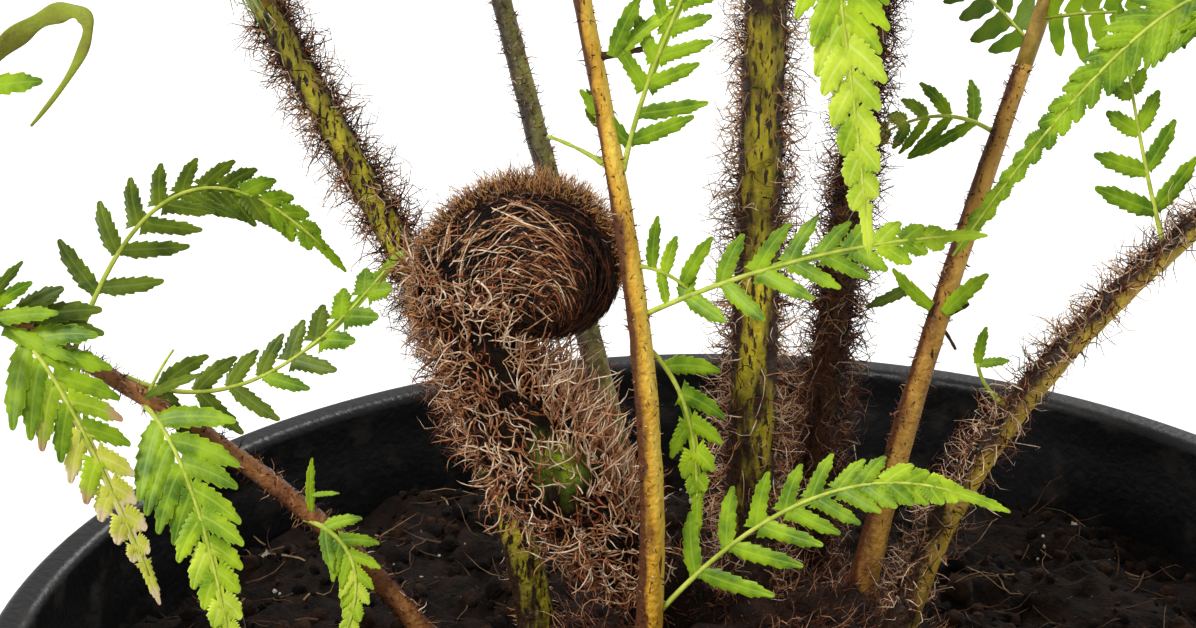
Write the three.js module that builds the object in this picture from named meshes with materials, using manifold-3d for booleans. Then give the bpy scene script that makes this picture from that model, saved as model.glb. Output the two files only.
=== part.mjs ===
// A young soft tree fern growing in a round nursery pot.
// Millimetres, +Z up. The origin is the centre of the pot's flat underside.
// The pot holds a block of compost, and a short hairy trunk stands on it. A crown of stalks rises from
// the trunk: each stalk is one tapering limb that carries a feathery frond, kept as two thin blades
// cut to the rib between their leaflets. A fat curled bud stands among the stalks.
import * as THREE from "three";
import { mergeVertices } from "three/addons/utils/BufferGeometryUtils.js";
import Module from "manifold-3d";

const wasm = await Module();
wasm.setup();

// Driving dimensions.
const GAP = 0.3; // clearance between neighbouring pieces
const POT = {
  rimRadius: 128,
  height: 210,
  footRadius: 96,
  wall: 2.2,
  floor: 3,
  lipHeight: 13,
  lipOverhang: 4.5,
  round: 2,
  holeRadius: 7,
  holeCircle: 66,
  holes: 6,
};
const SOIL_TOP = 192; // level of the compost, below the rim
const TRUNK = { flareRadius: 43, shoulderRadius: 28, height: 27 };
const KNEE = 120; // length of stalk over which it swings from its foot lean to its knee lean
const SINK = 6; // how far a stalk's foot starts inside the trunk before it is cut clear
const SIDES = { stalk: 7, rib: 4, leaf: 3, bud: 8, lathe: 40 };
const FLANK = Math.PI / 4; // turn of a rib's section that sets a flat face to each side
const STEP = 4; // length of each step when a stalk's line is worked out
const SLIVER = 0.02; // faces finer than this, left by a join, are merged away

// Every frond: where its foot stands on the trunk, the compass heading it leans to and how far that
// sways by the tip, its lean from upright in degrees at the foot, the knee and the tip, its whole length,
// its stalk's radius, the bare length under the leaflets and the reach of its longest leaflet.
const FROND_KEYS = ["foot", "heading", "lean", "length", "radius", "bare", "reach"];
const FROND_ROWS = {
  left_tall: [[-33, 12], [183, 10], [7, 27, 112], 560, 3.4, 128, 104],
  slim_front: [[-17, -15], [150, 22], [-7, 13, 108], 440, 2.2, 122, 80],
  thick_centre: [[1.3, 6], [298, -6], [0, 1.5, 116], 640, 4.3, 165, 118],
  behind_centre: [[12, 24], [45, 14], [6, 9, 110], 600, 3.4, 140, 112],
  right_back: [[20, 13], [33, -10], [14, 22, 112], 500, 2.4, 100, 92],
  right_leaning: [[24, -6], [5, -8], [9, 50, 116], 500, 2.7, 120, 92],
  left_low: [[-42, 1], [187, 22], [22, 56, 122], 400, 2.1, 112, 70],
  rear_left: [[-14, 27], [121, -6], [26, 30, 112], 540, 2.6, 140, 98],
  front_left_low: [[-26, -30], [229, 6], [52, 68, 118], 430, 2.6, 74, 82],
  front_low: [[2, -37], [266, -8], [56, 72, 116], 410, 2.5, 74, 78],
  front_right_low: [[26, -29], [314, 4], [52, 68, 118], 430, 2.6, 74, 82],
  right_low: [[39, -13], [342, 6], [44, 68, 120], 420, 2.4, 78, 80],
  rear: [[4, 36], [87, 8], [14, 26, 108], 600, 3.1, 150, 108],
  rear_left_low: [[-33, 28], [170, -8], [7, 27, 124], 500, 2.4, 140, 92],
};
const FRONDS = Object.entries(FROND_ROWS).map(([name, row]) =>
  Object.fromEntries([["name", name], ...row.map((value, k) => [FROND_KEYS[k], value])]),
);
const PAIRS = 10; // leaflet pairs on each frond
const FIRST = 0.35; // where the first pair stands above the bare stalk, as a share of the pairs' pitch
const STAGGER = 0.07; // how far one leaflet of a pair is ahead of its mean place, as a share of the pitch
const LEAF = { width: 0.26, belly: 0.4, thick: 0.014, minThick: 0.5, forward: 24, lift: 8, sag: 0.16 };
const STALK_RUNS = 6; // straight runs in a stalk
const RIB_RUNS = 6; // straight runs in the rib of half a frond
const RIB_TIP = 0.5; // a frond's rib radius at its tip
const RIB_SHARE = 0.62; // a frond's rib where it leaves the stalk, as a share of the stalk's radius

// The side sprays close to the heart: the length up its stalk where each springs, where its line pulls
// to and where its tip ends, both from that point, and the reach of its longest leaflet.
const SPRAYS = [
  { name: "spray_low_right", stalk: "slim_front", at: 17, pull: [27, 2, 27], tip: [54, 1, 16], reach: 13 },
  { name: "spray_mid_right", stalk: "slim_front", at: 68, pull: [24, -2, 12], tip: [48, 0, 13], reach: 13 },
  { name: "spray_hanging", stalk: "slim_front", at: 62, pull: [9, 2, -8], tip: [9, 3, -27], reach: 11 },
  { name: "spray_upper_right", stalk: "slim_front", at: 91, pull: [4, 1, 16], tip: [17, 2, 42], reach: 13 },
  { name: "spray_front", stalk: "thick_centre", at: 142, pull: [5, -30, 6], tip: [12, -44, -56], reach: 15 },
  { name: "spray_behind", stalk: "right_back", at: 88, pull: [-9, 8, 4], tip: [-19, 16, -6], reach: 12 },
  { name: "spray_rising", stalk: "right_leaning", at: 88, pull: [-5, 2, 14], tip: [-9, 4, 34], reach: 13 },
  { name: "spray_right", stalk: "right_leaning", at: 114, pull: [-3, 6, 55], tip: [-52, -6, -17], reach: 15 },
  { name: "spray_left_inner", stalk: "left_low", at: 88, pull: [9, -10, -6], tip: [14, -18, -37], reach: 13 },
  { name: "spray_left_outer", stalk: "left_low", at: 108, pull: [8, -8, -3], tip: [20, -10, -37], reach: 14 },
  { name: "spray_left_back", stalk: "left_low", at: 102, pull: [12, 31, 34], tip: [38, 26, 8], reach: 12 },
  { name: "spray_left_far", stalk: "left_low", at: 93, pull: [20, 6, -12], tip: [42, 12, 15], reach: 11 },
  { name: "spray_left_small", stalk: "left_low", at: 55, pull: [12, -4, -4], tip: [6, -8, -19], reach: 7 },
];
const SPRAY_PAIRS = 5;
// A spray's leaflets: width as a share of length, where the first and the last spring, how much they
// shorten by the tip, and how far they point forward, as a share of their turn sideways.
const SPRAY_LEAF = { width: 0.34, first: 0.14, last: 0.92, shorten: 0.72, forward: 0.55 };
const SPRAY_RIB = [0.8, 0.35]; // radius of a spray's rib at its root and its tip

// The curled bud: a stem that bows out from the trunk and a logarithmic spiral in an upright plane.
const BUD = {
  foot: [-3, -5, 210],
  bow: [-17, -6, 228],
  shoulder: [-34, -3, 240],
  centre: [-33, 0, 276],
  startRadius: 14,
  shrinkPerTurn: 0.357,
  thickness: 0.42,
  start: 0.004, // the turn at which the coil begins, a hair's breadth above the stem
  turns: 1.6,
  footRadius: 6,
  swelling: 3, // how much thicker the stem is in the middle of its bow
  swollen: [0.35, 1], // the stretch of the stem that swells
  stemSteps: 12,
  coilSteps: 30,
};

const RAD = Math.PI / 180;
const mix = (a, b, t) => a + (b - a) * t;
const clamp01 = (t) => Math.min(1, Math.max(0, t));

// A closed three.js geometry as a solid: vertices that share a place become one, and faces that
// collapse when they do are dropped.
function solidOf(geometry) {
  const bare = geometry.clone();
  bare.deleteAttribute("normal");
  bare.deleteAttribute("uv");
  const welded = mergeVertices(bare, 1e-4);
  const index = welded.index.array;
  const faces = [];
  for (let i = 0; i < index.length; i += 3) {
    const [a, b, c] = [index[i], index[i + 1], index[i + 2]];
    if (a !== b && b !== c && a !== c) faces.push(a, b, c);
  }
  const mesh = new wasm.Mesh({
    numProp: 3,
    vertProperties: welded.attributes.position.array,
    triVerts: new Uint32Array(faces),
  });
  return new wasm.Manifold(mesh);
}

// A solid as a three.js geometry again.
function geometryOf(solid) {
  const mesh = solid.getMesh();
  const places = new Float32Array(mesh.numVert * 3);
  for (let i = 0; i < mesh.numVert; i++) {
    const from = i * mesh.numProp;
    places.set(mesh.vertProperties.subarray(from, from + 3), i * 3);
  }
  const geometry = new THREE.BufferGeometry();
  geometry.setAttribute("position", new THREE.BufferAttribute(places, 3));
  geometry.setIndex(new THREE.BufferAttribute(new Uint32Array(mesh.triVerts), 1));
  geometry.computeVertexNormals();
  return geometry;
}

// The largest body of a solid that a cut has left in pieces.
function largest(solid) {
  return solid.decompose().sort((a, b) => b.volume() - a.volume())[0];
}

// A cylinder bent so that at share u of its length its section lies where place(u) says: a centre, two
// crossing directions, and the half width along each. Its first corner is turned from up by the start angle.
function bent(sides, steps, place, startAngle = 0) {
  const geometry = new THREE.CylinderGeometry(1, 1, 1, sides, steps, false, startAngle);
  const position = geometry.attributes.position;
  const point = new THREE.Vector3();
  for (let i = 0; i < position.count; i++) {
    const { centre, across, up, halfAcross, halfUp } = place(clamp01(position.getY(i) + 0.5));
    point.copy(centre);
    point.addScaledVector(across, position.getX(i) * halfAcross);
    point.addScaledVector(up, position.getZ(i) * halfUp);
    position.setXYZ(i, point.x, point.y, point.z);
  }
  return solidOf(geometry);
}

// The trunk's outline from its flat foot to the crown of its dome, as radius and height.
const TRUNK_FOOT = SOIL_TOP + GAP;
const TRUNK_OUTLINE = [
  [TRUNK.flareRadius, 0],
  [TRUNK.flareRadius - 1, 4],
  [mix(TRUNK.flareRadius, TRUNK.shoulderRadius, 0.47), 11],
  [TRUNK.shoulderRadius, 19],
  [TRUNK.shoulderRadius * 0.57, 25],
  [0, TRUNK.height],
];

// Height of the trunk's surface at a distance from its axis.
function trunkHeight(radius) {
  for (let i = TRUNK_OUTLINE.length - 1; i > 0; i--) {
    const [inner, top] = TRUNK_OUTLINE[i];
    const [outer, low] = TRUNK_OUTLINE[i - 1];
    if (radius <= outer) return TRUNK_FOOT + mix(top, low, (radius - inner) / (outer - inner));
  }
  return TRUNK_FOOT;
}

// An outline of radius and height turned about the upright axis.
function lathe(outline) {
  const points = outline.map(([radius, height]) => new THREE.Vector2(radius, height));
  return solidOf(new THREE.LatheGeometry(points, SIDES.lathe).rotateX(Math.PI / 2));
}

function makeTrunk(grow) {
  const outline = TRUNK_OUTLINE.map(([radius, height]) => [
    radius > 0 ? radius + grow : 0,
    TRUNK_FOOT + height + (height > 0 ? grow : -grow),
  ]);
  return lathe([[0, TRUNK_FOOT - grow], ...outline]);
}

// The pot's wall radius, outside, at a height.
const wallTop = POT.rimRadius - POT.lipOverhang;
const wallRadius = (z) => mix(POT.footRadius, wallTop, z / POT.height);

function makePot() {
  const under = POT.height - POT.lipHeight;
  const innerFoot = wallRadius(POT.floor) - POT.wall;
  const shell = lathe([
    [0, 0],
    [POT.footRadius - POT.round, 0],
    [POT.footRadius, POT.round],
    [wallRadius(under - POT.round), under - POT.round],
    [POT.rimRadius - 1, under],
    [POT.rimRadius, under + POT.round],
    [POT.rimRadius, POT.height - POT.round],
    [POT.rimRadius - POT.round, POT.height],
    [wallTop - POT.wall + POT.round, POT.height],
    [wallTop - POT.wall, POT.height - POT.round],
    [innerFoot, POT.floor],
    [0, POT.floor],
  ]);
  return Array.from({ length: POT.holes }).reduce((pot, _, i) => {
    const angle = (i * 2 * Math.PI) / POT.holes;
    const hole = new THREE.CylinderGeometry(POT.holeRadius, POT.holeRadius, 3 * POT.floor, 12);
    hole.rotateX(Math.PI / 2);
    hole.translate(POT.holeCircle * Math.cos(angle), POT.holeCircle * Math.sin(angle), 0);
    return pot.subtract(solidOf(hole));
  }, shell);
}

function makeSoil() {
  const inside = (z) => wallRadius(z) - POT.wall - GAP;
  const low = POT.floor + GAP;
  return lathe([
    [0, low],
    [inside(low), low],
    [inside(SOIL_TOP - 3), SOIL_TOP - 3],
    [inside(SOIL_TOP) - 26, SOIL_TOP],
    [0, SOIL_TOP],
  ]);
}

// A frond's line: its lean eases from foot to knee along the first stretch, and then bends over more
// and more to the tip, while its heading sways. Each entry holds a point and three directions: along,
// up (the face that looks at the sky) and side.
function spine(frond) {
  const start = trunkHeight(Math.hypot(...frond.foot)) - SINK;
  const point = new THREE.Vector3(...frond.foot, start);
  const steps = Math.round(frond.length / STEP);
  const [foot, knee, tip] = frond.lean;
  return Array.from({ length: steps + 1 }, (_, i) => {
    const s = i * STEP;
    const low = Math.sin((Math.PI / 2) * clamp01(s / KNEE));
    const high = Math.pow(clamp01((s - KNEE) / (frond.length - KNEE)), 1.4);
    const lean = (mix(foot, knee, low) + (tip - knee) * high) * RAD;
    const [headingFoot, sway] = frond.heading;
    const heading = (headingFoot + sway * (s / frond.length) ** 2) * RAD;
    const [c, h] = [Math.cos(heading), Math.sin(heading)];
    const along = new THREE.Vector3(Math.sin(lean) * c, Math.sin(lean) * h, Math.cos(lean));
    const up = new THREE.Vector3(-Math.cos(lean) * c, -Math.cos(lean) * h, Math.sin(lean));
    const side = new THREE.Vector3().crossVectors(along, up);
    const entry = { point: point.clone(), along, up, side };
    point.addScaledVector(along, STEP);
    return entry;
  });
}

// An entry between those of a list, at a place counted in entries.
function between(entries, place) {
  const i = Math.min(entries.length - 2, Math.max(0, Math.floor(place)));
  const blend = (key) => entries[i][key].clone().lerp(entries[i + 1][key], place - i);
  return {
    point: blend("point"),
    along: blend("along").normalize(),
    up: blend("up").normalize(),
    side: blend("side").normalize(),
  };
}

// The line's entry at a length along it.
const at = (line, s) => between(line, s / STEP);

// A limb along a route, tapering between two radii. A four-sided rib has flat flanks, where its
// leaflets spring.
function limb(route, radiusFrom, radiusTo, sides, steps) {
  const section = (u) => {
    const { point, up, side } = route(u);
    const radius = mix(radiusFrom, radiusTo, u);
    return { centre: point, across: side, up, halfAcross: radius, halfUp: radius };
  };
  return bent(sides, steps, section, FLANK);
}

// One leaflet: a thin blade with a ridge along its back, narrow at its root inside the rib, widest at
// two fifths of its length and pointed at its tip, which sags.
function leaflet(root, direction, facing, length, width, ribRadius) {
  const across = new THREE.Vector3().crossVectors(direction, facing).normalize();
  const thick = Math.max(LEAF.minThick, length * LEAF.thick);
  const foot = [0, ribRadius * 0.8, ribRadius * 0.3];
  return bent(SIDES.leaf, 2, (u) => {
    const [share, wide, high] = u < 0.25 ? foot : u < 0.75 ? [LEAF.belly, width, thick] : [1, 0, 0];
    const centre = root.clone().addScaledVector(direction, length * share);
    centre.z -= length * LEAF.sag * share * share;
    return { centre, across, up: facing, halfAcross: wide / 2 / Math.sin(Math.PI / 3), halfUp: high };
  });
}

// How long leaflets are along a frond, as a share of the longest: short at the foot, full past a
// third of the way, and drawn in to the tip.
const outline = (t) => Math.min(1, 0.42 + 1.9 * t) * Math.pow(Math.max(0, 1 - t), 0.62) * 1.12;

// All solids placed so far, by name, with the room that each takes.
const placed = [];
const touches = (a, b) =>
  [0, 1, 2].every((k) => a.min[k] - GAP < b.max[k] && b.min[k] - GAP < a.max[k]);

// True when a solid keeps its gap to every placed one but the one that it is to be fused to.
function isClear(solid, own) {
  const box = solid.boundingBox();
  return placed.every(
    (other) => other.name === own || !touches(box, other.box) || other.solid.minGap(solid, 1) > GAP,
  );
}

function place(name, solid, [colour, roughness], leaflets = []) {
  placed.push({ name, solid, box: solid.boundingBox(), colour, roughness, leaflets });
}

// Fuses a placed rib's leaflets to it, apart from those that would touch another piece.
function fuseLeaflets(part) {
  const kept = part.leaflets.filter((leaf) => isClear(leaf, part.name));
  part.solid = largest(kept.reduce((all, leaf) => all.add(leaf), part.solid)).simplify(SLIVER);
  part.box = part.solid.boundingBox();
}

// The part of a frond between two lengths: its rib in straight runs, and the leaflets that spring in
// pairs from it.
function frondBlade(frond, line, from, to) {
  const share = (s) => (s - frond.bare) / (frond.length - frond.bare);
  const ribRadius = (s) => mix(frond.radius * RIB_SHARE, RIB_TIP, share(s));
  const stations = Array.from({ length: RIB_RUNS + 1 }, (_, i) => at(line, mix(from, to, i / RIB_RUNS)));
  const route = (u) => between(stations, u * RIB_RUNS);
  const rib = limb(route, ribRadius(from), ribRadius(to), SIDES.rib, RIB_RUNS);
  const leaflets = [];
  const pitch = (frond.length - frond.bare) / PAIRS;
  for (let pair = 0; pair < PAIRS; pair++) {
    for (const hand of [-1, 1]) {
      const s = frond.bare + pitch * (pair + FIRST + STAGGER * hand);
      if (s < from + 1 || s > to - 1) continue;
      const { point, along, up, side } = route((s - from) / (to - from));
      const direction = side
        .multiplyScalar(hand * Math.cos(LEAF.forward * RAD))
        .addScaledVector(along, Math.sin(LEAF.forward * RAD))
        .addScaledVector(up, Math.sin(LEAF.lift * RAD))
        .normalize();
      const facing = up.clone().addScaledVector(direction, -up.dot(direction)).normalize();
      const length = frond.reach * outline(share(s));
      const width = Math.min(length * LEAF.width, pitch * 0.9);
      leaflets.push(leaflet(point, direction, facing, length, width, ribRadius(s)));
    }
  }
  return [rib, leaflets];
}

// A stalk's radius at a length along it, up to where its leaflets start.
const stalkRadius = (frond, s) => frond.radius * mix(1, RIB_SHARE, s / frond.bare);

// A side spray near the heart: a thin rib that curves to its tip, with leaflets above and below it.
function spray(spec, line) {
  const { point, along: stem } = at(line, spec.at);
  const stalk = FRONDS.find((frond) => frond.name === spec.stalk);
  const reach = new THREE.Vector3(...spec.tip);
  const away = reach.clone().addScaledVector(stem, -reach.dot(stem)).normalize();
  const root = point.clone().addScaledVector(away, stalkRadius(stalk, spec.at) + GAP + SPRAY_RIB[0] / 2);
  const pull = point.clone().add(new THREE.Vector3(...spec.pull));
  const curve = new THREE.QuadraticBezierCurve3(root, pull, point.clone().add(reach));
  const radiusAt = (u) => mix(...SPRAY_RIB, u);
  const frame = (u) => {
    const along = curve.getTangent(u);
    const side = new THREE.Vector3(0, 1, 0).cross(along).normalize();
    return { along, side, facing: new THREE.Vector3().crossVectors(along, side) };
  };
  const section = (u) => {
    const { side, facing } = frame(u);
    const up = facing.negate();
    return { centre: curve.getPoint(u), across: side, up, halfAcross: radiusAt(u), halfUp: radiusAt(u) };
  };
  const rib = bent(SIDES.rib, 6, section, FLANK);
  const leaflets = [];
  for (let pair = 0; pair < SPRAY_PAIRS; pair++) {
    for (const hand of [-1, 1]) {
      const u = mix(SPRAY_LEAF.first, SPRAY_LEAF.last, (pair + STAGGER * hand) / SPRAY_PAIRS);
      const leafLength = spec.reach * (1 - SPRAY_LEAF.shorten * u);
      const { along, side, facing } = frame(u);
      const direction = side.multiplyScalar(hand).addScaledVector(along, SPRAY_LEAF.forward).normalize();
      const width = leafLength * SPRAY_LEAF.width;
      leaflets.push(leaflet(curve.getPoint(u), direction, facing, leafLength, width, radiusAt(u)));
    }
  }
  return [rib, leaflets];
}

// The coil's line: the radius shrinks by the same share with every turn, and so does the thickness.
function coilPlace(turn) {
  const radius = BUD.startRadius * Math.pow(BUD.shrinkPerTurn, turn);
  const angle = turn * 2 * Math.PI;
  const [x, y, z] = BUD.centre;
  const out = new THREE.Vector3(-Math.cos(angle), 0, Math.sin(angle));
  return {
    centre: new THREE.Vector3(x, y, z).addScaledVector(out, radius),
    out,
    thickness: radius * BUD.thickness,
  };
}

function makeCoil(grow) {
  return bent(SIDES.bud, BUD.coilSteps, (u) => {
    const { centre, out, thickness } = coilPlace(mix(BUD.start, BUD.turns, u));
    const half = (u < 1 ? thickness : thickness * 0.5) + grow;
    return { centre, across: out, up: new THREE.Vector3(0, 1, 0), halfAcross: half, halfUp: half };
  });
}

function makeBudStem() {
  const coil = coilPlace(0);
  const line = new THREE.CubicBezierCurve3(
    new THREE.Vector3(...BUD.foot),
    new THREE.Vector3(...BUD.bow),
    new THREE.Vector3(...BUD.shoulder),
    coil.centre.clone().setZ(coil.centre.z - GAP),
  );
  const flat = new THREE.Vector3(0, 1, 0);
  const upright = new THREE.Vector3(0, 0, 1);
  return bent(SIDES.bud, BUD.stemSteps, (u) => {
    const along = line.getTangent(u).lerp(upright, u ** 4);
    const across = along.cross(flat).normalize();
    const [from, to] = BUD.swollen;
    const bulge = Math.sin(Math.PI * clamp01((u - from) / (to - from))) ** 2;
    const radius = mix(BUD.footRadius, coil.thickness, u) + BUD.swelling * bulge;
    return { centre: line.getPoint(u), across, up: flat, halfAcross: radius, halfUp: radius };
  });
}

// Colours and roughness of each kind of piece, read from the object.
const LOOK = {
  pot: [0x15161a, 0.5],
  soil: [0x2a1d16, 0.95],
  trunk: [0x4a2c1c, 0.95],
  stalk: [0x8a7a1e, 0.6],
  bud: [0x5a3722, 0.9],
  leaf: [0x5fa81c, 0.55],
};

// Putting it together. The feet of stalks and bud are cut clear of the trunk and of the compost.
place("pot", makePot(), LOOK.pot);
place("soil", makeSoil(), LOOK.soil);
place("trunk", makeTrunk(0), LOOK.trunk);
const bed = lathe([[0, 0], [POT.rimRadius, 0], [POT.rimRadius, SOIL_TOP + GAP], [0, SOIL_TOP + GAP]]);
const footing = makeTrunk(GAP).add(bed);
place("bud_coil", makeCoil(0), LOOK.bud);
const stemRoom = footing.add(makeCoil(GAP));
place("bud_stem", largest(makeBudStem().subtract(stemRoom)).simplify(SLIVER), LOOK.bud);

const lines = new Map(FRONDS.map((frond) => [frond.name, spine(frond)]));
for (const frond of FRONDS) {
  const line = lines.get(frond.name);
  const route = (u) => at(line, u * (frond.bare - GAP));
  const whole = limb(route, frond.radius, frond.radius * RIB_SHARE, SIDES.stalk, STALK_RUNS);
  place(`${frond.name}_stalk`, largest(whole.subtract(footing)), LOOK.stalk);
}
for (const spec of SPRAYS) {
  const [rib, leaflets] = spray(spec, lines.get(spec.stalk));
  place(spec.name, rib, LOOK.leaf, leaflets);
}
for (const frond of FRONDS) {
  const bend = mix(frond.bare, frond.length, 0.5);
  const halves = { blade_low: [frond.bare, bend], blade_tip: [bend + GAP, frond.length] };
  for (const [half, [from, to]] of Object.entries(halves)) {
    const [rib, leaflets] = frondBlade(frond, lines.get(frond.name), from, to);
    place(`${frond.name}_${half}`, rib, LOOK.leaf, leaflets);
  }
}
placed.forEach(fuseLeaflets);

const fern = new THREE.Group();
fern.name = "potted_tree_fern";
for (const { name, solid, colour, roughness } of placed) {
  const material = new THREE.MeshStandardMaterial({ color: colour, roughness, metalness: 0 });
  const mesh = new THREE.Mesh(geometryOf(solid), material);
  mesh.name = name;
  fern.add(mesh);
}

export default fern;
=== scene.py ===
# %% [markdown]
# # A potted tree fern, dressed for a close view
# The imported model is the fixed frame: a nursery pot with its compost, a short trunk, one curled bud,
# fourteen stalks with their blades, and thirteen side sprays, all as plain solids. This lesson puts the
# looks on them: smooth plastic, crumbly compost, hair, and thousands of toothed leaflets.
#
# What grows here follows the rule that placed the solids, written again with numpy, so a finer leaf
# always springs from where the plain one stood. Lengths are in millimetres until the last moment.

import bpy
import numpy as np
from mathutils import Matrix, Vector


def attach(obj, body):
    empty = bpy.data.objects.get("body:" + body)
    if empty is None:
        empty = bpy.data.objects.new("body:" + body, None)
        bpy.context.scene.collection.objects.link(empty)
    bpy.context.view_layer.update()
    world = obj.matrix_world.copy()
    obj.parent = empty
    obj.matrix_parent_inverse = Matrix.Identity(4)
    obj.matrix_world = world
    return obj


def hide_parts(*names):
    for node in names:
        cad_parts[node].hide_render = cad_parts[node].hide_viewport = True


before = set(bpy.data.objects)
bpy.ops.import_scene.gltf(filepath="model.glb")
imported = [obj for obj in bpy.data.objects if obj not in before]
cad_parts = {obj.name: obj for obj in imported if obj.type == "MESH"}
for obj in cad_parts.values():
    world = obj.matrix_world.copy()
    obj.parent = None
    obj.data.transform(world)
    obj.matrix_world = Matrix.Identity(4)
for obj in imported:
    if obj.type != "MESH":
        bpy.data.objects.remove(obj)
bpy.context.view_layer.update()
MM = 0.001  # metres in a millimetre, the unit of every length below

# %% [markdown]
# ## The camera
# The picture was taken close by and from a little above, so the near stalks stand against the far rim
# of the pot. A camera could be aimed with a constraint, but a fixed place and turn are easier to read:
# the eye stands back from a target in the heart of the plant, at the angle of the photograph.

# %% Place the camera
LENS, SENSOR = 85, 36
TARGET = np.array([-24, 0, 270])
STAND_OFF, TILT = 452, np.radians(22)
eye = TARGET + STAND_OFF * np.array([0, -np.cos(TILT), np.sin(TILT)])

camera = bpy.data.objects.new("camera", bpy.data.cameras.new("camera"))
camera.data.lens, camera.data.sensor_width = LENS, SENSOR
camera.data.clip_start = 0.01
camera.location = eye * MM
camera.rotation_mode = "QUATERNION"
camera.rotation_quaternion = Vector(TARGET - eye).to_track_quat("-Z", "Y")
bpy.context.scene.collection.objects.link(camera)
bpy.context.scene.camera = camera
print(f"camera at {np.round(eye, 1).tolist()} mm")

# %% [markdown]
# ## Light and floor
# The plant was photographed on a bright white ground in soft window light. Three things make that: a
# white world for the soft light from everywhere, a broad sun from the upper left that models the
# stalks, and a second from behind that lights the hair against the dark pot. The floor is one pale
# disc, far wider than the view, so no edge of it shows.

# %% Light the studio
WORLD_LIGHT = 0.62
SUNS = {"window": (2.5, (-0.55, -0.6, 1.0), 12), "behind": (2.0, (0.6, 0.9, 1.0), 20)}

world = bpy.data.worlds.new("studio")
world.use_nodes = True
world.node_tree.nodes["Background"].inputs["Color"].default_value = (1, 1, 1, 1)
world.node_tree.nodes["Background"].inputs["Strength"].default_value = WORLD_LIGHT
bpy.context.scene.world = world
bpy.context.scene.view_settings.view_transform = "Standard"

for name, (strength, stands, spread) in SUNS.items():
    sun = bpy.data.objects.new(name, bpy.data.lights.new(name, "SUN"))
    sun.data.energy, sun.data.angle = strength, np.radians(spread)
    sun.rotation_mode = "QUATERNION"
    sun.rotation_quaternion = Vector(stands).to_track_quat("Z", "Y")
    bpy.context.scene.collection.objects.link(sun)
print(f"{len(SUNS)} suns and a world of strength {WORLD_LIGHT}")

# %% [markdown]
# ## Tools for shapes
# Nearly everything here is one of four shapes: a sheet on a grid, a skin round a line, an outline
# turned about an axis, or a small shape copied many times. Each is worked out as whole arrays, with no
# loop over points. Modifiers could do some of it, but arrays keep every point where the rule puts it.

# %% Vectors and seeded chance
def unit(vectors):
    """Each vector divided by its length."""
    return vectors / np.maximum(np.linalg.norm(vectors, axis=-1, keepdims=True), 1e-12)


def mix(a, b, share):
    """a at share 0, b at share 1, and straight between them."""
    return a + (b - a) * share


def ease(share):
    """A share held between 0 and 1 that starts and ends gently: 3 t^2 - 2 t^3."""
    held = np.clip(share, 0, 1)
    return held * held * (3 - 2 * held)


def full_turn(sides):
    """Angles that share out a full turn evenly."""
    return np.arange(sides) * 2 * np.pi / sides


def spokes(turn, up, side):
    """Directions at a turn from up towards side: cos turn * up + sin turn * side."""
    return np.cos(turn)[..., None] * up + np.sin(turn)[..., None] * side


def round_axis(radius, turn, height):
    """Points at a radius and a turn round the upright axis, at a height."""
    return np.stack([radius * np.cos(turn), radius * np.sin(turn), height], -1)


def square_to(vectors, way):
    """The vectors without what runs along a way, each one long."""
    return unit(vectors - way * (vectors * way).sum(-1, keepdims=True))


def dice(name):
    """A seeded source of chance for one piece, so that a change to one leaves the others alone."""
    return np.random.default_rng(sum(ord(letter) * (i + 1) for i, letter in enumerate(name)))


WAVES_EACH = 26


def waves(points, size, seed):
    """A smooth random height over space: the sum of sine waves with chance headings, near one length."""
    chance = np.random.default_rng(seed)
    heading = unit(chance.normal(size=(WAVES_EACH, points.shape[-1])))
    pace = 2 * np.pi / (size * chance.uniform(0.6, 1.7, WAVES_EACH))
    phase = chance.uniform(0, 2 * np.pi, WAVES_EACH)
    return np.sin(points @ (heading * pace[:, None]).T + phase).sum(-1) * np.sqrt(2 / WAVES_EACH)


# %% Grids, skins and outlines
def grid_faces(rows, columns, joined=False):
    """Two triangles for each cell of a grid kept row by row; joined closes each row on itself."""
    row = np.arange(rows - 1)[:, None] * columns
    column = np.arange(columns if joined else columns - 1)[None]
    after = (column + 1) % columns
    corners = [row + column, row + after, row + columns + after, row + columns + column]
    a, b, c, d = np.broadcast_arrays(*corners)
    return np.stack([a, b, c, a, c, d], -1).reshape(-1, 3)


def skin(line, up, side, radius, sides):
    """A closed skin round a line: rings of radius * (cos turn * up + sin turn * side), and two end fans.
    The radius is one number for each ring, or one for each ring and turn."""
    size = np.broadcast_to(np.asarray(radius).reshape(len(line), -1), (len(line), sides))
    points = line[:, None] + spokes(full_turn(sides), up[:, None], side[:, None]) * size[..., None]
    fan = np.arange(1, sides - 1)
    start = np.stack([fan * 0, fan + 1, fan], -1)
    end = (len(line) - 1) * sides + np.stack([fan * 0, fan, fan + 1], -1)
    return points.reshape(-1, 3), np.concatenate([grid_faces(len(line), sides, True), start, end])


def revolve(outline, sides):
    """An outline of radius and height, from pole to pole, turned about the upright axis."""
    radius, height = outline[1:-1, :1], outline[1:-1, 1:]
    rings = round_axis(radius, full_turn(sides), np.repeat(height, sides, 1)).reshape(-1, 3)
    poles = [[0, 0, outline[0, 1]], [0, 0, outline[-1, 1]]]
    here, after = np.arange(sides), (np.arange(sides) + 1) % sides
    first, last = len(rings), (len(radius) - 1) * sides
    under = np.stack([here * 0 + first, after, here], -1)
    over = np.stack([here * 0 + first + 1, last + here, last + after], -1)
    faces = np.concatenate([grid_faces(len(radius), sides, True), under, over])
    return np.concatenate([rings, poles]), faces


# %% Many at once
def copies(faces, points_each, count):
    """The faces of one shape, repeated for each copy of its points."""
    return (faces[None] + (np.arange(count) * points_each)[:, None, None]).reshape(-1, 3)


THREAD_SIDES = 3
SKEW = np.array([0.31, -0.17, 0.23])  # turns the way across a thread off every straight chord


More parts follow.
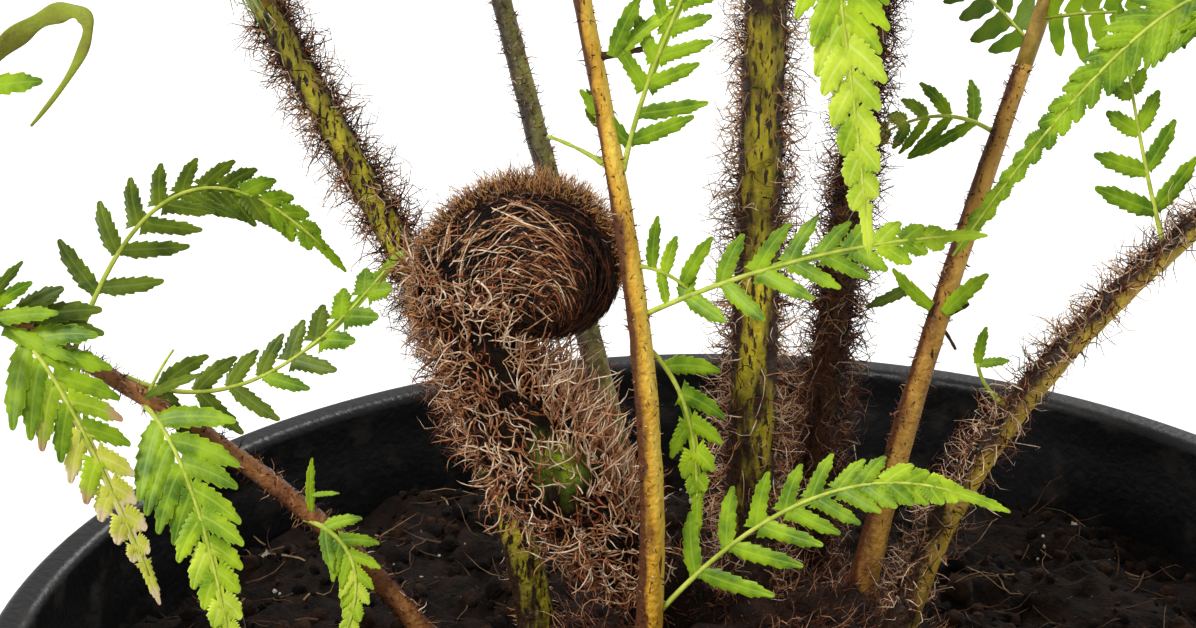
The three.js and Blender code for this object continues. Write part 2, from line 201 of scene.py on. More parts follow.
def threads(paths, radius, slim=0.75):
    """Hairs as closed three-sided threads: at each point of a path a triangle across it, whose size is
    radius * (1 - slim * u), and one point at the tip. The paths are copies by steps by three."""
    count, steps = paths.shape[:2]
    along = unit(np.gradient(paths, axis=1))
    chord = unit(paths[:, -1] - paths[:, 0])
    aside = unit(np.cross(chord, np.roll(chord, 1, axis=-1) + SKEW))
    side = unit(np.cross(along, aside[:, None]))
    up = np.cross(side, along)
    ways = spokes(full_turn(THREAD_SIDES), up[:, :, None], side[:, :, None])
    taper = 1 - slim * np.linspace(0, 1, steps)
    size = np.broadcast_to(np.asarray(radius).reshape(-1, 1), (count, 1)) * taper
    rings = (paths[:, :, None] + ways * size[..., None, None])[:, :-1].reshape(count, -1, 3)
    points = np.concatenate([rings, paths[:, -1:]], 1)
    last, tip = (steps - 2) * THREAD_SIDES, (steps - 1) * THREAD_SIDES
    close = [[0, 2, 1], [last, last + 1, tip], [last + 1, last + 2, tip], [last + 2, last, tip]]
    faces = np.concatenate([grid_faces(steps - 1, THREAD_SIDES, True), close])
    return points.reshape(-1, 3), copies(faces, tip + 1, count)


def root_to_tip(steps, root, tip, turn_at):
    """The look of each face of threads: the root's up to a share of the length, then the tip's."""
    rows = np.repeat(np.arange(steps - 2) / (steps - 2), 2 * THREAD_SIDES)
    place = np.concatenate([rows, [0, 1, 1, 1]])
    return np.where(place[None] < turn_at, root[:, None], tip[:, None]).ravel()


def wavy(roots, directions, lengths, curl, steps, chance, loops=1.0):
    """Paths that set out along a direction and wander: to a straight run is added a wave in each of two
    crossing directions, whose size is curl times the length and which starts at nothing."""
    u = np.linspace(0, 1, steps)[None, :, None]
    sideways = unit(np.cross(directions, chance.normal(size=directions.shape)))[:, None]
    upwards = np.cross(directions[:, None], sideways)
    phase = chance.uniform(0, 2 * np.pi, (2, len(roots), 1, 1))
    pace = chance.uniform(2.5, 6.5, (2, len(roots), 1, 1)) * loops
    sway = [np.sin(pace[k] * u + phase[k]) - np.sin(phase[k]) for k in (0, 1)]
    reach = lengths[:, None, None]
    drift = (sideways * sway[0] + upwards * sway[1]) * curl * reach * np.sqrt(u)
    return roots[:, None] + directions[:, None] * reach * u + drift


def stamp(shape, faces, roots, along, across, facing, length, width, sweep):
    """Copies of a flat shape, each set in its own frame: x along times its length, y across times its
    width, z times its width off the face, and a bend of sweep * x^2 that carries the tip."""
    x, y, z = shape.T
    points = roots[:, None] + along[:, None] * (x * length[:, None])[..., None]
    points = points + across[:, None] * (y * width[:, None])[..., None]
    points = points + facing[:, None] * (z * width[:, None])[..., None]
    points = points + sweep[:, None] * (x**2)[None, :, None]
    return points.reshape(-1, 3), copies(faces, len(shape), len(roots))


def together(parts):
    """Several (points, faces) as one."""
    sizes = [len(points) for points, _ in parts]
    starts = np.concatenate([[0], np.cumsum(sizes)[:-1]])
    faces = [own + start for (_, own), start in zip(parts, starts)]
    return np.concatenate([points for points, _ in parts]), np.concatenate(faces)


# %% From arrays to a piece of the plant
triangles = {}


def piece(name, points, faces, looks, slot, nodes=(), picks=None, uv=None, marks=None):
    """Puts arrays into a mesh and rides it on the part. picks gives each face's material, uv each
    point's place on the surface, and marks named values for each point."""
    mesh = bpy.data.meshes.new(name)
    mesh.vertices.add(len(points))
    mesh.vertices.foreach_set("co", (points * MM).astype(np.float32).ravel())
    mesh.loops.add(faces.size)
    mesh.loops.foreach_set("vertex_index", faces.astype(np.int32).ravel())
    mesh.polygons.add(len(faces))
    mesh.polygons.foreach_set("loop_start", np.arange(0, faces.size, 3, dtype=np.int32))
    for look in looks:
        mesh.materials.append(look)
    if picks is not None:
        mesh.polygons.foreach_set("material_index", picks.astype(np.int32))
    if uv is not None:
        layer = mesh.uv_layers.new(name="UVMap")
        layer.data.foreach_set("uv", uv[faces.ravel()].astype(np.float32).ravel())
    for mark, values in (marks or {}).items():
        attribute = mesh.attributes.new(mark, "FLOAT", "POINT")
        attribute.data.foreach_set("value", values.astype(np.float32).ravel())
    mesh.polygons.foreach_set("use_smooth", np.ones(len(faces), bool))
    mesh.update(calc_edges=True)
    made = bpy.data.objects.new(name, mesh)
    bpy.context.scene.collection.objects.link(made)
    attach(made, "root")
    if nodes:
        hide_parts(*nodes)
    triangles[name] = len(faces)
    return made


def hairs(name, paths, radius, looks, which, slot, nodes=(), slim=0.75):
    """Threads on their paths as one piece; which gives each hair's look, or None where there is one."""
    points, faces = threads(paths, radius, slim)
    picks = None if which is None else np.repeat(which, len(faces) // len(paths))
    return piece(name, points, faces, looks, slot, nodes, picks)


# %% [markdown]
# ## Tools for finishes
# Natural surfaces are never one colour. Two effects come back on nearly every one of them, so each is
# a node group made once: a mottle, which deals two colours over the surface by noise, and a fine
# relief, which turns noise into a bumped normal. Both read Object coordinates, so they stay put on the
# piece. Each material places them with its own colours, scales and heights.

# %% Colours, groups and small nodes
def tint(code):
    """A web colour code as the linear red, green, blue and alpha that nodes take."""
    shown = np.array([int(code[i : i + 2], 16) for i in (1, 3, 5)]) / 255
    linear = np.where(shown <= 0.04045, shown / 12.92, ((shown + 0.055) / 1.055) ** 2.4)
    return (*linear, 1.0)


def node_group(name, inputs, outputs):
    """An empty shader group with named sockets, and its input and output nodes."""
    tree = bpy.data.node_groups.new(name, "ShaderNodeTree")
    for label, (kind, value) in inputs.items():
        socket = tree.interface.new_socket(label, in_out="INPUT", socket_type=f"NodeSocket{kind}")
        socket.default_value = value
    for label, kind in outputs.items():
        tree.interface.new_socket(label, in_out="OUTPUT", socket_type=f"NodeSocket{kind}")
    return tree, tree.nodes.new("NodeGroupInput"), tree.nodes.new("NodeGroupOutput")


def feed(tree, socket, value):
    """Links a socket to another, or sets its value."""
    if isinstance(value, bpy.types.NodeSocket):
        tree.links.new(value, socket)
    else:
        socket.default_value = value


def reckon(tree, operation, *values):
    """A Math node on one or two numbers."""
    node = tree.nodes.new("ShaderNodeMath")
    node.operation = operation
    for socket, value in zip(node.inputs, values):
        feed(tree, socket, value)
    return node.outputs[0]


def spread(tree, value, low, high, start=0.0, end=1.0):
    """A Map Range node: start below low, end above high."""
    node = tree.nodes.new("ShaderNodeMapRange")
    settings = {"Value": value, "From Min": low, "From Max": high, "To Min": start, "To Max": end}
    for label, given in settings.items():
        feed(tree, node.inputs[label], given)
    return node.outputs["Result"]


def spread_about(tree, value, middle, below, above):
    """A Map Range node whose low and high lie below and above a middle."""
    low = reckon(tree, "ADD", middle, below)
    return spread(tree, value, low, reckon(tree, "ADD", middle, above))


def blend(tree, share, first, second):
    """A Mix node on two colours."""
    node = tree.nodes.new("ShaderNodeMix")
    node.data_type = "RGBA"
    for index, value in ((0, share), (6, first), (7, second)):
        feed(tree, node.inputs[index], value)
    return node.outputs[2]


def place_group(tree, group, **values):
    """A group placed in a tree with its values; a name's underscores stand for spaces."""
    node = tree.nodes.new("ShaderNodeGroup")
    node.node_tree = group
    for label, value in values.items():
        feed(tree, node.inputs[label.replace("_", " ")], value)
    return node.outputs


def noise(tree, scale, detail=4.0, stretch=None):
    """Noise on Object coordinates; stretch scales the coordinates first, along X, Y and Z."""
    place = tree.nodes.new("ShaderNodeTexCoord").outputs["Object"]
    if stretch:
        mapping = tree.nodes.new("ShaderNodeMapping")
        mapping.inputs["Scale"].default_value = stretch
        tree.links.new(place, mapping.inputs["Vector"])
        place = mapping.outputs["Vector"]
    node = tree.nodes.new("ShaderNodeTexNoise")
    node.inputs["Detail"].default_value = detail
    tree.links.new(place, node.inputs["Vector"])
    feed(tree, node.inputs["Scale"], scale)
    return node.outputs["Fac"]


# %% The mottle and the fine relief
MOTTLE_EDGE = 0.13  # half the width of the change from one colour to the other, in noise
white = (1.0, 1.0, 1.0, 1.0)
MOTTLE, given, put = node_group(
    "mottle",
    {
        "First": ("Color", white),
        "Second": ("Color", white),
        "Scale": ("Float", 300.0),
        "Balance": ("Float", 0.5),
    },
    {"Colour": "Color", "Mask": "Float"},
)
grain = noise(MOTTLE, given.outputs["Scale"], 5.0)
share = spread_about(MOTTLE, grain, given.outputs["Balance"], -MOTTLE_EDGE, MOTTLE_EDGE)
MOTTLE.links.new(share, put.inputs["Mask"])
MOTTLE.links.new(blend(MOTTLE, share, given.outputs["First"], given.outputs["Second"]), put.inputs["Colour"])

RELIEF, given, put = node_group(
    "fine_relief",
    {"Scale": ("Float", 900.0), "Height": ("Float", 0.0003)},
    {"Normal": "Vector"},
)
bump = RELIEF.nodes.new("ShaderNodeBump")
bump.inputs["Strength"].default_value = 1.0
RELIEF.links.new(given.outputs["Height"], bump.inputs["Distance"])
RELIEF.links.new(noise(RELIEF, given.outputs["Scale"], 6.0), bump.inputs["Height"])
RELIEF.links.new(bump.outputs["Normal"], put.inputs["Normal"])


def blank(name, roughness, shine):
    """A material with a Principled shader, its tree and that shader."""
    made = bpy.data.materials.new(name)
    made.use_nodes = True
    shader = made.node_tree.nodes["Principled BSDF"]
    shader.inputs["Roughness"].default_value = roughness
    shader.inputs["Specular IOR Level"].default_value = shine
    return made, made.node_tree, shader


def roughen(tree, shader, scale, height):
    """Lays the fine relief on a shader: the scale of its noise, and its height in metres."""
    relief = place_group(tree, RELIEF, Scale=scale, Height=height)
    tree.links.new(relief["Normal"], shader.inputs["Normal"])


def mottled(name, first, second, scale, roughness, relief, shine=0.3, balance=0.5):
    """A finish of two colours dealt by noise, over a fine relief of a scale and a height."""
    made, tree, shader = blank(name, roughness, shine)
    colours = place_group(tree, MOTTLE, First=tint(first), Second=tint(second), Scale=scale, Balance=balance)
    tree.links.new(colours["Colour"], shader.inputs["Base Color"])
    roughen(tree, shader, *relief)
    return made


# %% Lay the floor
FLOOR_RADIUS, FLOOR_SIDES = 6000, 96
floor_look = mottled(
    "pale_floor", "#f6f6f5", "#f1f1f0", scale=3.0, roughness=0.7, relief=(60.0, 0.0004), shine=0.2
)
turn = full_turn(FLOOR_SIDES)
disc = np.concatenate([[[0, 0, 0]], round_axis(FLOOR_RADIUS, turn, turn * 0)])
around = np.arange(FLOOR_SIDES)
floor_mesh = bpy.data.meshes.new("floor")
floor_faces = np.stack([around * 0, around + 1, (around + 1) % FLOOR_SIDES + 1], -1)
floor_mesh.from_pydata((disc * MM).tolist(), [], floor_faces.tolist())
floor_mesh.materials.append(floor_look)
floor = bpy.data.objects.new("floor", floor_mesh)
bpy.context.scene.collection.objects.link(floor)
print(f"floor of {2 * FLOOR_RADIUS * MM:.0f} m")

# %% [markdown]
# ## The pot
# A nursery pot is blown or moulded from black recycled plastic about 2 mm thick, with a rolled lip, a
# stacking step and a few holes in its floor. It could stay the plain solid, but forty sides show at the
# rim, so its outline is turned again with many more, with arcs at its edges and low mould rings. The
# holes are the one thing that is easier to cut than to work out, so a Boolean takes them out.

# %% Turn the pot
POT = dict(rim=128, height=210, foot=96, wall=2.2, floor=3, lip=13, overhang=4.5, hole=7, circle=66, holes=6)
POT_SIDES, HOLE_SIDES = 192, 32
EDGE = 2.0  # radius of the rounded edges
RING_PITCH, RING_HEIGHT, RING_WIDTH = 24, 0.35, 1.6
STACK_STEP, STACK_DEPTH = 168, 0.7
LEDGE_AT, LEDGE_DEPTH = 197.5, 0.8
ARC_STEPS = 6


def arc(radius_at, height_at, start, end):
    """Points on an edge's round, from one turn to another: centre plus EDGE times its cosine and sine."""
    turn = np.radians(np.linspace(start, end, ARC_STEPS))
    return np.stack([radius_at + EDGE * np.cos(turn), height_at + EDGE * np.sin(turn)], -1)


def wall_radius(height):
    """The pot's outer radius at a height: straight from its foot to under its lip."""
    return mix(POT["foot"], POT["rim"] - POT["overhang"], height / POT["height"])


lip_foot = POT["height"] - POT["lip"]
rise = np.linspace(EDGE + 1, lip_foot - EDGE, 90)
rings = RING_HEIGHT * np.exp(-(((rise % RING_PITCH) - RING_PITCH / 2) / RING_WIDTH) ** 2)
rings = rings - STACK_DEPTH * ease((rise - STACK_STEP) / 3)
outside = np.stack([wall_radius(rise) + rings, rise], -1)
inner_rim = wall_radius(POT["height"]) - POT["wall"]
fall = np.linspace(POT["height"] - 2 * EDGE, POT["floor"] + 2, 70)
ledge = LEDGE_DEPTH * ease((fall - LEDGE_AT) / 1.5)
inside = np.stack([wall_radius(fall) - POT["wall"] + ledge * 0.6, fall], -1)
outline = np.concatenate(
    [
        [[0, 0], [POT["foot"] * 0.5, 0], [POT["circle"] + 14, 0]],
        arc(POT["foot"] - EDGE, EDGE, -90, -10),
        outside,
        arc(POT["rim"] - EDGE, lip_foot + EDGE, -80, 0),
        arc(POT["rim"] - EDGE, POT["height"] - EDGE, 0, 90),
        arc(inner_rim + EDGE, POT["height"] - EDGE, 90, 175),
        inside,
        [[wall_radius(POT["floor"]) - POT["wall"] - 2, POT["floor"]], [20, POT["floor"]], [0, POT["floor"]]],
    ]
)
pot_points, pot_faces = revolve(outline, POT_SIDES)
print(f"pot outline of {len(outline)} points")

# %% Finish the plastic
pot_look, tree, shader = blank("pot_plastic_black", roughness=0.46, shine=0.32)
plastic = place_group(tree, MOTTLE, First=tint("#0a0a0b"), Second=tint("#131315"), Scale=40.0, Balance=0.5)
dust = place_group(tree, MOTTLE, First=tint("#000000"), Second=tint("#ffffff"), Scale=150.0, Balance=0.66)
tree.links.new(blend(tree, dust["Mask"], plastic["Colour"], tint("#2b2521")), shader.inputs["Base Color"])
tree.links.new(spread(tree, dust["Mask"], 0.0, 1.0, 0.4, 0.75), shader.inputs["Roughness"])
roughen(tree, shader, scale=700.0, height=0.0002)
pot = piece("pot_shell", pot_points, pot_faces, [pot_look], "pot_plastic", ["pot"])

# %% Cut the drain holes
turn = full_turn(POT["holes"])
below, above = -4, 2 * POT["floor"]
drill_outline = np.array([[0, below], [POT["hole"], below], [POT["hole"], above], [0, above]], float)
drill, drill_faces = revolve(drill_outline, HOLE_SIDES)
spots = round_axis(POT["circle"], turn, turn * 0)
cutter_mesh = bpy.data.meshes.new("drill")
all_faces = copies(drill_faces, len(drill), len(spots))
cutter_mesh.from_pydata(((spots[:, None] + drill[None]) * MM).reshape(-1, 3).tolist(), [], all_faces.tolist())
cutter = bpy.data.objects.new("drill", cutter_mesh)
bpy.context.scene.collection.objects.link(cutter)
cut = pot.modifiers.new("holes", "BOOLEAN")
cut.object, cut.operation, cut.solver = cutter, "DIFFERENCE", "EXACT"
bpy.context.view_layer.update()
drilled = bpy.data.meshes.new_from_object(pot.evaluated_get(bpy.context.evaluated_depsgraph_get()))
pot.modifiers.clear()
pot.data = drilled
bpy.data.objects.remove(cutter)
print(f"pot with {POT['holes']} holes, {len(drilled.polygons)} faces")

# %% [markdown]
# ## The compost
# Compost is crumbs of peat and bark with fine roots and a few pale grains of grit. A bump map could
# hint at it, but this view skims the surface, so the crumbs are shapes: a block whose top is lifted by
# waves of three sizes, and over it many small lumps, threads of fibre and a few pale grains.

# %% Heap the block
SOIL_TOP, SOIL_SIDES = 192, 240
GAP = 0.3
SINK_DEPTH, SINK_WIDTH, SETTLED = 3, 26, 0.6
SOIL_WAVES = [(1.3, 22, 5), (0.7, 7, 6), (0.35, 2.6, 7)]  # height, length and seed of each
soil_foot = POT["floor"] + GAP
soil_edge = wall_radius(SOIL_TOP) - POT["wall"] - GAP


def soil_level(x, y):
    """The compost's height: a little under its level, lower at the wall, plus waves of three sizes."""
    place = np.stack([x, y], -1)
    rough = sum(height * waves(place, length, seed) for height, length, seed in SOIL_WAVES)
    sunk = SINK_DEPTH * ease((np.hypot(x, y) - soil_edge + SINK_WIDTH) / SINK_WIDTH)
    return SOIL_TOP - sunk + rough - SETTLED


deep = np.linspace(soil_foot, SOIL_TOP - 5, 8)
side_wall = np.stack([wall_radius(deep) - POT["wall"] - GAP, deep], -1)
top_rings = np.linspace(soil_edge - 0.4, 1.2, 92)
outline = np.concatenate([[[0, soil_foot]], side_wall, np.stack([top_rings, top_rings * 0 + SOIL_TOP], -1)])
outline = np.concatenate([outline, [[0, SOIL_TOP]]])
block, block_faces = revolve(outline, SOIL_SIDES)
on_top = block[:, 2] > SOIL_TOP - 1
block[on_top, 2] = soil_level(block[on_top, 0], block[on_top, 1])
compost_look = mottled(
    "compost_dark",
    "#0c0705",
    "#1f130d",
    scale=260.0,
    roughness=0.95,
    relief=(1100.0, 0.0009),
    shine=0.15,
    balance=0.52,
)
piece("compost", block, block_faces, [compost_look], "compost", ["soil"])
print(f"compost block of {len(block_faces)} triangles")

# %% Scatter crumbs, grit and fibre
SPREAD_FROM, SPREAD_TO = 30.0, soil_edge - 3


def on_soil(count, chance):
    """Places spread evenly over the compost, from the trunk to the wall."""
    radius = np.sqrt(chance.uniform(SPREAD_FROM**2, SPREAD_TO**2, count))
    turn = chance.uniform(0, 2 * np.pi, count)
    x, y = radius * np.cos(turn), radius * np.sin(turn)
    return np.stack([x, y, soil_level(x, y)], -1)


half = np.radians(np.linspace(-90, 90, 5))
BALL, BALL_FACES = revolve(np.stack([np.cos(half), np.sin(half)], -1), 6)


def lumps(places, sizes, chance):
    """Uneven balls: every point of a ball is drawn in or out by up to a third, and each is squashed."""
    uneven = chance.uniform(0.68, 1.15, (len(places), len(BALL), 1))
    squash = chance.uniform(0.6, 1.1, (len(places), 1, 3))
    points = places[:, None] + BALL[None] * uneven * squash * sizes[:, None, None]
    return points.reshape(-1, 3), copies(BALL_FACES, len(BALL), len(places))


CRUMBS, GRITS, FIBRES = 2600, 150, 1100
chance = dice("compost crumbs")
crumb_size = 0.7 + 2.4 * chance.random(CRUMBS) ** 3
CRUMB_TONES = {"crumb_black": ("#090504", "#150d09"), "crumb_brown": ("#1f120c", "#352216")}
crumb_looks = [
    mottled(name, *tones, scale=500.0, roughness=0.95, relief=(1500.0, 0.0006), shine=0.15)
    for name, tones in CRUMB_TONES.items()
]
points, faces = lumps(on_soil(CRUMBS, chance), crumb_size, chance)
picks = np.repeat(chance.random(CRUMBS) > 0.66, len(BALL_FACES))
piece("compost_crumbs", points, faces, crumb_looks, "compost", picks=picks)

chance = dice("compost grit")
grit_look = mottled("grit_pale", "#8d8478", "#cbc4b8", scale=700.0, roughness=0.9, relief=(1500.0, 0.0004))
points, faces = lumps(on_soil(GRITS, chance), 0.45 + 0.8 * chance.random(GRITS) ** 2, chance)
piece("compost_grit", points, faces, [grit_look], "compost")

chance = dice("compost fibre")
FIBRE_TONES = {"fibre_brown": ("#3a2517", "#5d4029"), "fibre_tan": ("#6e5236", "#94754f")}
fibre_looks = [
    mottled(name, *tones, scale=400.0, roughness=0.85, relief=(1500.0, 0.0003))
    for name, tones in FIBRE_TONES.items()
]
lie = unit(chance.normal(size=(FIBRES, 3)) * [1, 1, 0.18])
paths = wavy(on_soil(FIBRES, chance) + [0, 0, 0.5], lie, chance.uniform(4, 17, FIBRES), 0.12, 6, chance)
thick, is_tan = chance.uniform(0.1, 0.28, FIBRES), chance.random(FIBRES) > 0.75
hairs("compost_fibre", paths, thick, fibre_looks, is_tan, "compost")
print(f"{CRUMBS} crumbs, {GRITS} grains of grit, {FIBRES} fibres")

# %% [markdown]
# ## The trunk
# A young tree fern has only a low knob of a trunk, matted with red-brown hair. Its outline is turned
# like the pot's, with more rings, and roughened in and out by waves, so that stalk feet and hair sit
# in hollows. A particle system could grow the hair, but the export drops particles, so each hair is a
# thin closed thread in one joined mesh.

# %% Turn the trunk
FLARE, SHOULDER, TRUNK_HEIGHT = 43, 28, 27
TRUNK_FOOT = SOIL_TOP + GAP
TRUNK_SIDES, TRUNK_RINGS = 150, 46
TRUNK_OUTLINE = np.array(
    [
        [FLARE, 0],
        [FLARE - 1, 4],
        [mix(FLARE, SHOULDER, 0.47), 11],
        [SHOULDER, 19],
        [SHOULDER * 0.57, 25],
        [0, TRUNK_HEIGHT],
    ]
)


def trunk_height(radius):
    """Height of the trunk's surface at a distance from its axis."""
    return TRUNK_FOOT + np.interp(radius, TRUNK_OUTLINE[::-1, 0], TRUNK_OUTLINE[::-1, 1])


corners = np.arange(len(TRUNK_OUTLINE))
stations = np.linspace(0, corners[-1], TRUNK_RINGS)
fine = np.stack([np.interp(stations, corners, TRUNK_OUTLINE[:, k]) for k in (0, 1)], -1)
fine[:, 1] += TRUNK_FOOT
outline = np.concatenate([[[0, TRUNK_FOOT - 1.5], [FLARE * 0.6, TRUNK_FOOT - 1.5]], fine])
knob, knob_faces = revolve(outline, TRUNK_SIDES)
outward = unit(knob * [1, 1, 0.8] - [0, 0, 0.8 * TRUNK_FOOT])
bark = 1.1 * waves(knob, 9, 11) + 0.5 * waves(knob, 3, 12)
knob = knob + outward * np.where(knob[:, 2] > TRUNK_FOOT - 1, bark, 0)[:, None]
trunk_look = mottled(
    "trunk_bark", "#120a07", "#301b11", scale=320.0, roughness=0.92, relief=(900.0, 0.001), shine=0.2
)
piece("trunk_bark", knob, knob_faces, [trunk_look], "trunk_fibre", ["trunk"])
print(f"trunk of {len(knob_faces)} triangles")

# %% Give it hair
def hair_finish(name, deep, light, roughness=0.55):
    """One colour of hair."""
    return mottled(f"hair_{name}", deep, light, scale=900.0, roughness=roughness, relief=(2000.0, 0.0001))


HAIR_BROWN = hair_finish("red_brown", "#3f1c10", "#7a4128", 0.6)
HAIR_DARK = hair_finish("dark", "#0c0604", "#24130b", 0.6)
HAIR_TAN = hair_finish("tan", "#915a34", "#cf9c72")
HAIR_PALE = hair_finish("pale", "#cda27e", "#f6e0c4")
HAIR_GOLD = hair_finish("golden", "#b3793c", "#e6b573")
HAIR_RUST = hair_finish("rust", "#7c3f22", "#b06a42")
HAIR_GREY = hair_finish("grey", "#6f655c", "#b5aca2")

chance = dice("trunk hair")
TRUNK_HAIRS = 4200
radius = np.sqrt(chance.random(TRUNK_HAIRS)) * (FLARE + 2)
turn = chance.uniform(0, 2 * np.pi, TRUNK_HAIRS)
roots = round_axis(radius, turn, trunk_height(radius) - 0.5)
outwards = unit(round_axis(1, turn, mix(1.4, 0.3, radius / FLARE)))
lie = unit(outwards + 0.75 * chance.normal(size=roots.shape))
lie[:, 2] = np.abs(lie[:, 2])
paths = wavy(roots, lie, chance.uniform(2.5, 7, TRUNK_HAIRS), 0.13, 5, chance)
which = chance.choice(3, TRUNK_HAIRS, p=[0.5, 0.3, 0.2])
hairs("trunk_hair", paths, 0.13, [HAIR_BROWN, HAIR_DARK, HAIR_TAN], which, "trunk_fibre")
print(f"{TRUNK_HAIRS} hairs on the trunk")

# %% [markdown]
# ## The rule of the fronds
# Each frond follows one line. Its lean from upright eases from the foot to the knee along the first
# 120 mm, then bends over more and more to the tip, while its heading sways a little. The solids were
# placed by this rule, and the same numbers are repeated here, so stalks, ribs and leaflets fall on them.

# %% Where each frond stands and how it bends
KNEE, SINK, STEP = 120, 6, 4
RIB_SHARE, RIB_TIP = 0.62, 0.5
FROND_KEYS = ("foot", "heading", "lean", "length", "radius", "bare", "reach")
FROND_ROWS = {
    "left_tall": [(-33, 12), (183, 10), (7, 27, 112), 560, 3.4, 128, 104],
    "slim_front": [(-17, -15), (150, 22), (-7, 13, 108), 440, 2.2, 122, 80],
    "thick_centre": [(1.3, 6), (298, -6), (0, 1.5, 116), 640, 4.3, 165, 118],
    "behind_centre": [(12, 24), (45, 14), (6, 9, 110), 600, 3.4, 140, 112],
    "right_back": [(20, 13), (33, -10), (14, 22, 112), 500, 2.4, 100, 92],
    "right_leaning": [(24, -6), (5, -8), (9, 50, 116), 500, 2.7, 120, 92],
    "left_low": [(-42, 1), (187, 22), (22, 56, 122), 400, 2.1, 112, 70],
    "rear_left": [(-14, 27), (121, -6), (26, 30, 112), 540, 2.6, 140, 98],
    "front_left_low": [(-26, -30), (229, 6), (52, 68, 118), 430, 2.6, 74, 82],
    "front_low": [(2, -37), (266, -8), (56, 72, 116), 410, 2.5, 74, 78],
    "front_right_low": [(26, -29), (314, 4), (52, 68, 118), 430, 2.6, 74, 82],
    "right_low": [(39, -13), (342, 6), (44, 68, 120), 420, 2.4, 78, 80],
    "rear": [(4, 36), (87, 8), (14, 26, 108), 600, 3.1, 150, 108],
    "rear_left_low": [(-33, 28), (170, -8), (7, 27, 124), 500, 2.4, 140, 92],
}
FRONDS = {name: dict(zip(FROND_KEYS, row)) for name, row in FROND_ROWS.items()}


def frond_line(frond):
    """A frond's points every 4 mm, and at each the directions along it, up from its face and aside."""
    s = np.arange(0, frond["length"] + STEP / 2, STEP)
    foot, knee, tip = frond["lean"]
    low = np.sin(np.pi / 2 * np.clip(s / KNEE, 0, 1))
    high = np.clip((s - KNEE) / (frond["length"] - KNEE), 0, 1) ** 1.4
    lean = np.radians(mix(foot, knee, low) + (tip - knee) * high)
    first, sway = frond["heading"]
    heading = np.radians(first + sway * (s / frond["length"]) ** 2)
    level = np.stack([np.cos(heading), np.sin(heading), heading * 0], -1)
    sky = np.array([0, 0, 1.0])
    along = np.sin(lean)[:, None] * level + np.cos(lean)[:, None] * sky
    up = -np.cos(lean)[:, None] * level + np.sin(lean)[:, None] * sky
    start = np.array([*frond["foot"], trunk_height(np.hypot(*frond["foot"])) - SINK])
    point = start + np.concatenate([np.zeros((1, 3)), np.cumsum(along[:-1] * STEP, axis=0)])
    return {"point": point, "along": along, "up": up, "side": np.cross(along, up)}


def at(line, s):
    """The line's point and directions at lengths s, blended between its entries."""
    place = np.asarray(s, float) / STEP
    low = np.clip(place.astype(int), 0, len(line["point"]) - 2)
    share = (place - low)[..., None]
    found = {key: mix(values[low], values[low + 1], share) for key, values in line.items()}
    return {key: values if key == "point" else unit(values) for key, values in found.items()}


lines = {name: frond_line(frond) for name, frond in FRONDS.items()}


def stalk_radius(frond, s):
    """A stalk's radius at a length along it, up to where its leaflets start."""
    return frond["radius"] * mix(1, RIB_SHARE, s / frond["bare"])


highest = max(line["point"][:, 2].max() for line in lines.values())
print(f"{len(lines)} frond lines, the highest reaches {highest:.0f} mm")

# %% [markdown]
# ## The stalks
# A stalk is a tapering limb with a shallow groove on its upper face. No two are alike: the slim front one is
# bare and golden with a dark flank, the thick one is yellow-green down its front and red-brown at its sides,
# and the tall and leaning ones are hairy. The skin's colour follows a mark that each point carries, how far
# it faces a chosen way, so the change runs true along a bent stalk. These tones are partly the stalk's own
# colours and partly painted light: a painted highlight on the side that faces that way, painted shade on the
# far side, and more painted shade at the foot. Noise breaks that edge up, and dark flecks are laid over it.

# %% The finish of a stalk
# Painted light on a stalk: by its lit mark the skin runs from Dark, partly its own colour and partly painted
# shade, to Lit and Bright, partly its own colour and partly painted light and highlight.
STALK_SKIN_AND_LIGHT, given, put = node_group(
    "stalk_skin_and_painted_light",
    {
        "Bright": ("Color", white),
        "Lit": ("Color", white),
        "Dark": ("Color", white),
        "Fleck": ("Color", white),
        "Edge": ("Float", 0.2),
        "Flecks": ("Float", 0.3),
    },
    {"Colour": "Color"},
)
TONE_EDGE, BRIGHT_BAND, UNEVEN = 0.28, (0.3, 0.9), 2.4
FLECK_LEVEL, FLECK_REACH, FLECK_EDGE = 0.78, 0.3, 0.06
faces_way = STALK_SKIN_AND_LIGHT.nodes.new("ShaderNodeAttribute")
faces_way.attribute_name = "lit"
coarse = reckon(STALK_SKIN_AND_LIGHT, "SUBTRACT", noise(STALK_SKIN_AND_LIGHT, 330.0, 6.0, (1, 1, 0.3)), 0.5)
uneven = reckon(STALK_SKIN_AND_LIGHT, "MULTIPLY", coarse, UNEVEN)
level = reckon(STALK_SKIN_AND_LIGHT, "ADD", faces_way.outputs["Fac"], uneven)
lit_share = spread_about(STALK_SKIN_AND_LIGHT, level, given.outputs["Edge"], -TONE_EDGE, TONE_EDGE)
tone = blend(STALK_SKIN_AND_LIGHT, lit_share, given.outputs["Dark"], given.outputs["Lit"])
bright_share = spread_about(STALK_SKIN_AND_LIGHT, level, given.outputs["Edge"], *BRIGHT_BAND)
tone = blend(STALK_SKIN_AND_LIGHT, bright_share, tone, given.outputs["Bright"])
spots = noise(STALK_SKIN_AND_LIGHT, 1300.0, 3.0, (1, 1, 0.3))
many = reckon(STALK_SKIN_AND_LIGHT, "MULTIPLY", given.outputs["Flecks"], FLECK_REACH)
cut_off = reckon(STALK_SKIN_AND_LIGHT, "SUBTRACT", FLECK_LEVEL, many)
fleck_share = spread(STALK_SKIN_AND_LIGHT, spots, cut_off, reckon(STALK_SKIN_AND_LIGHT, "ADD", cut_off, FLECK_EDGE))
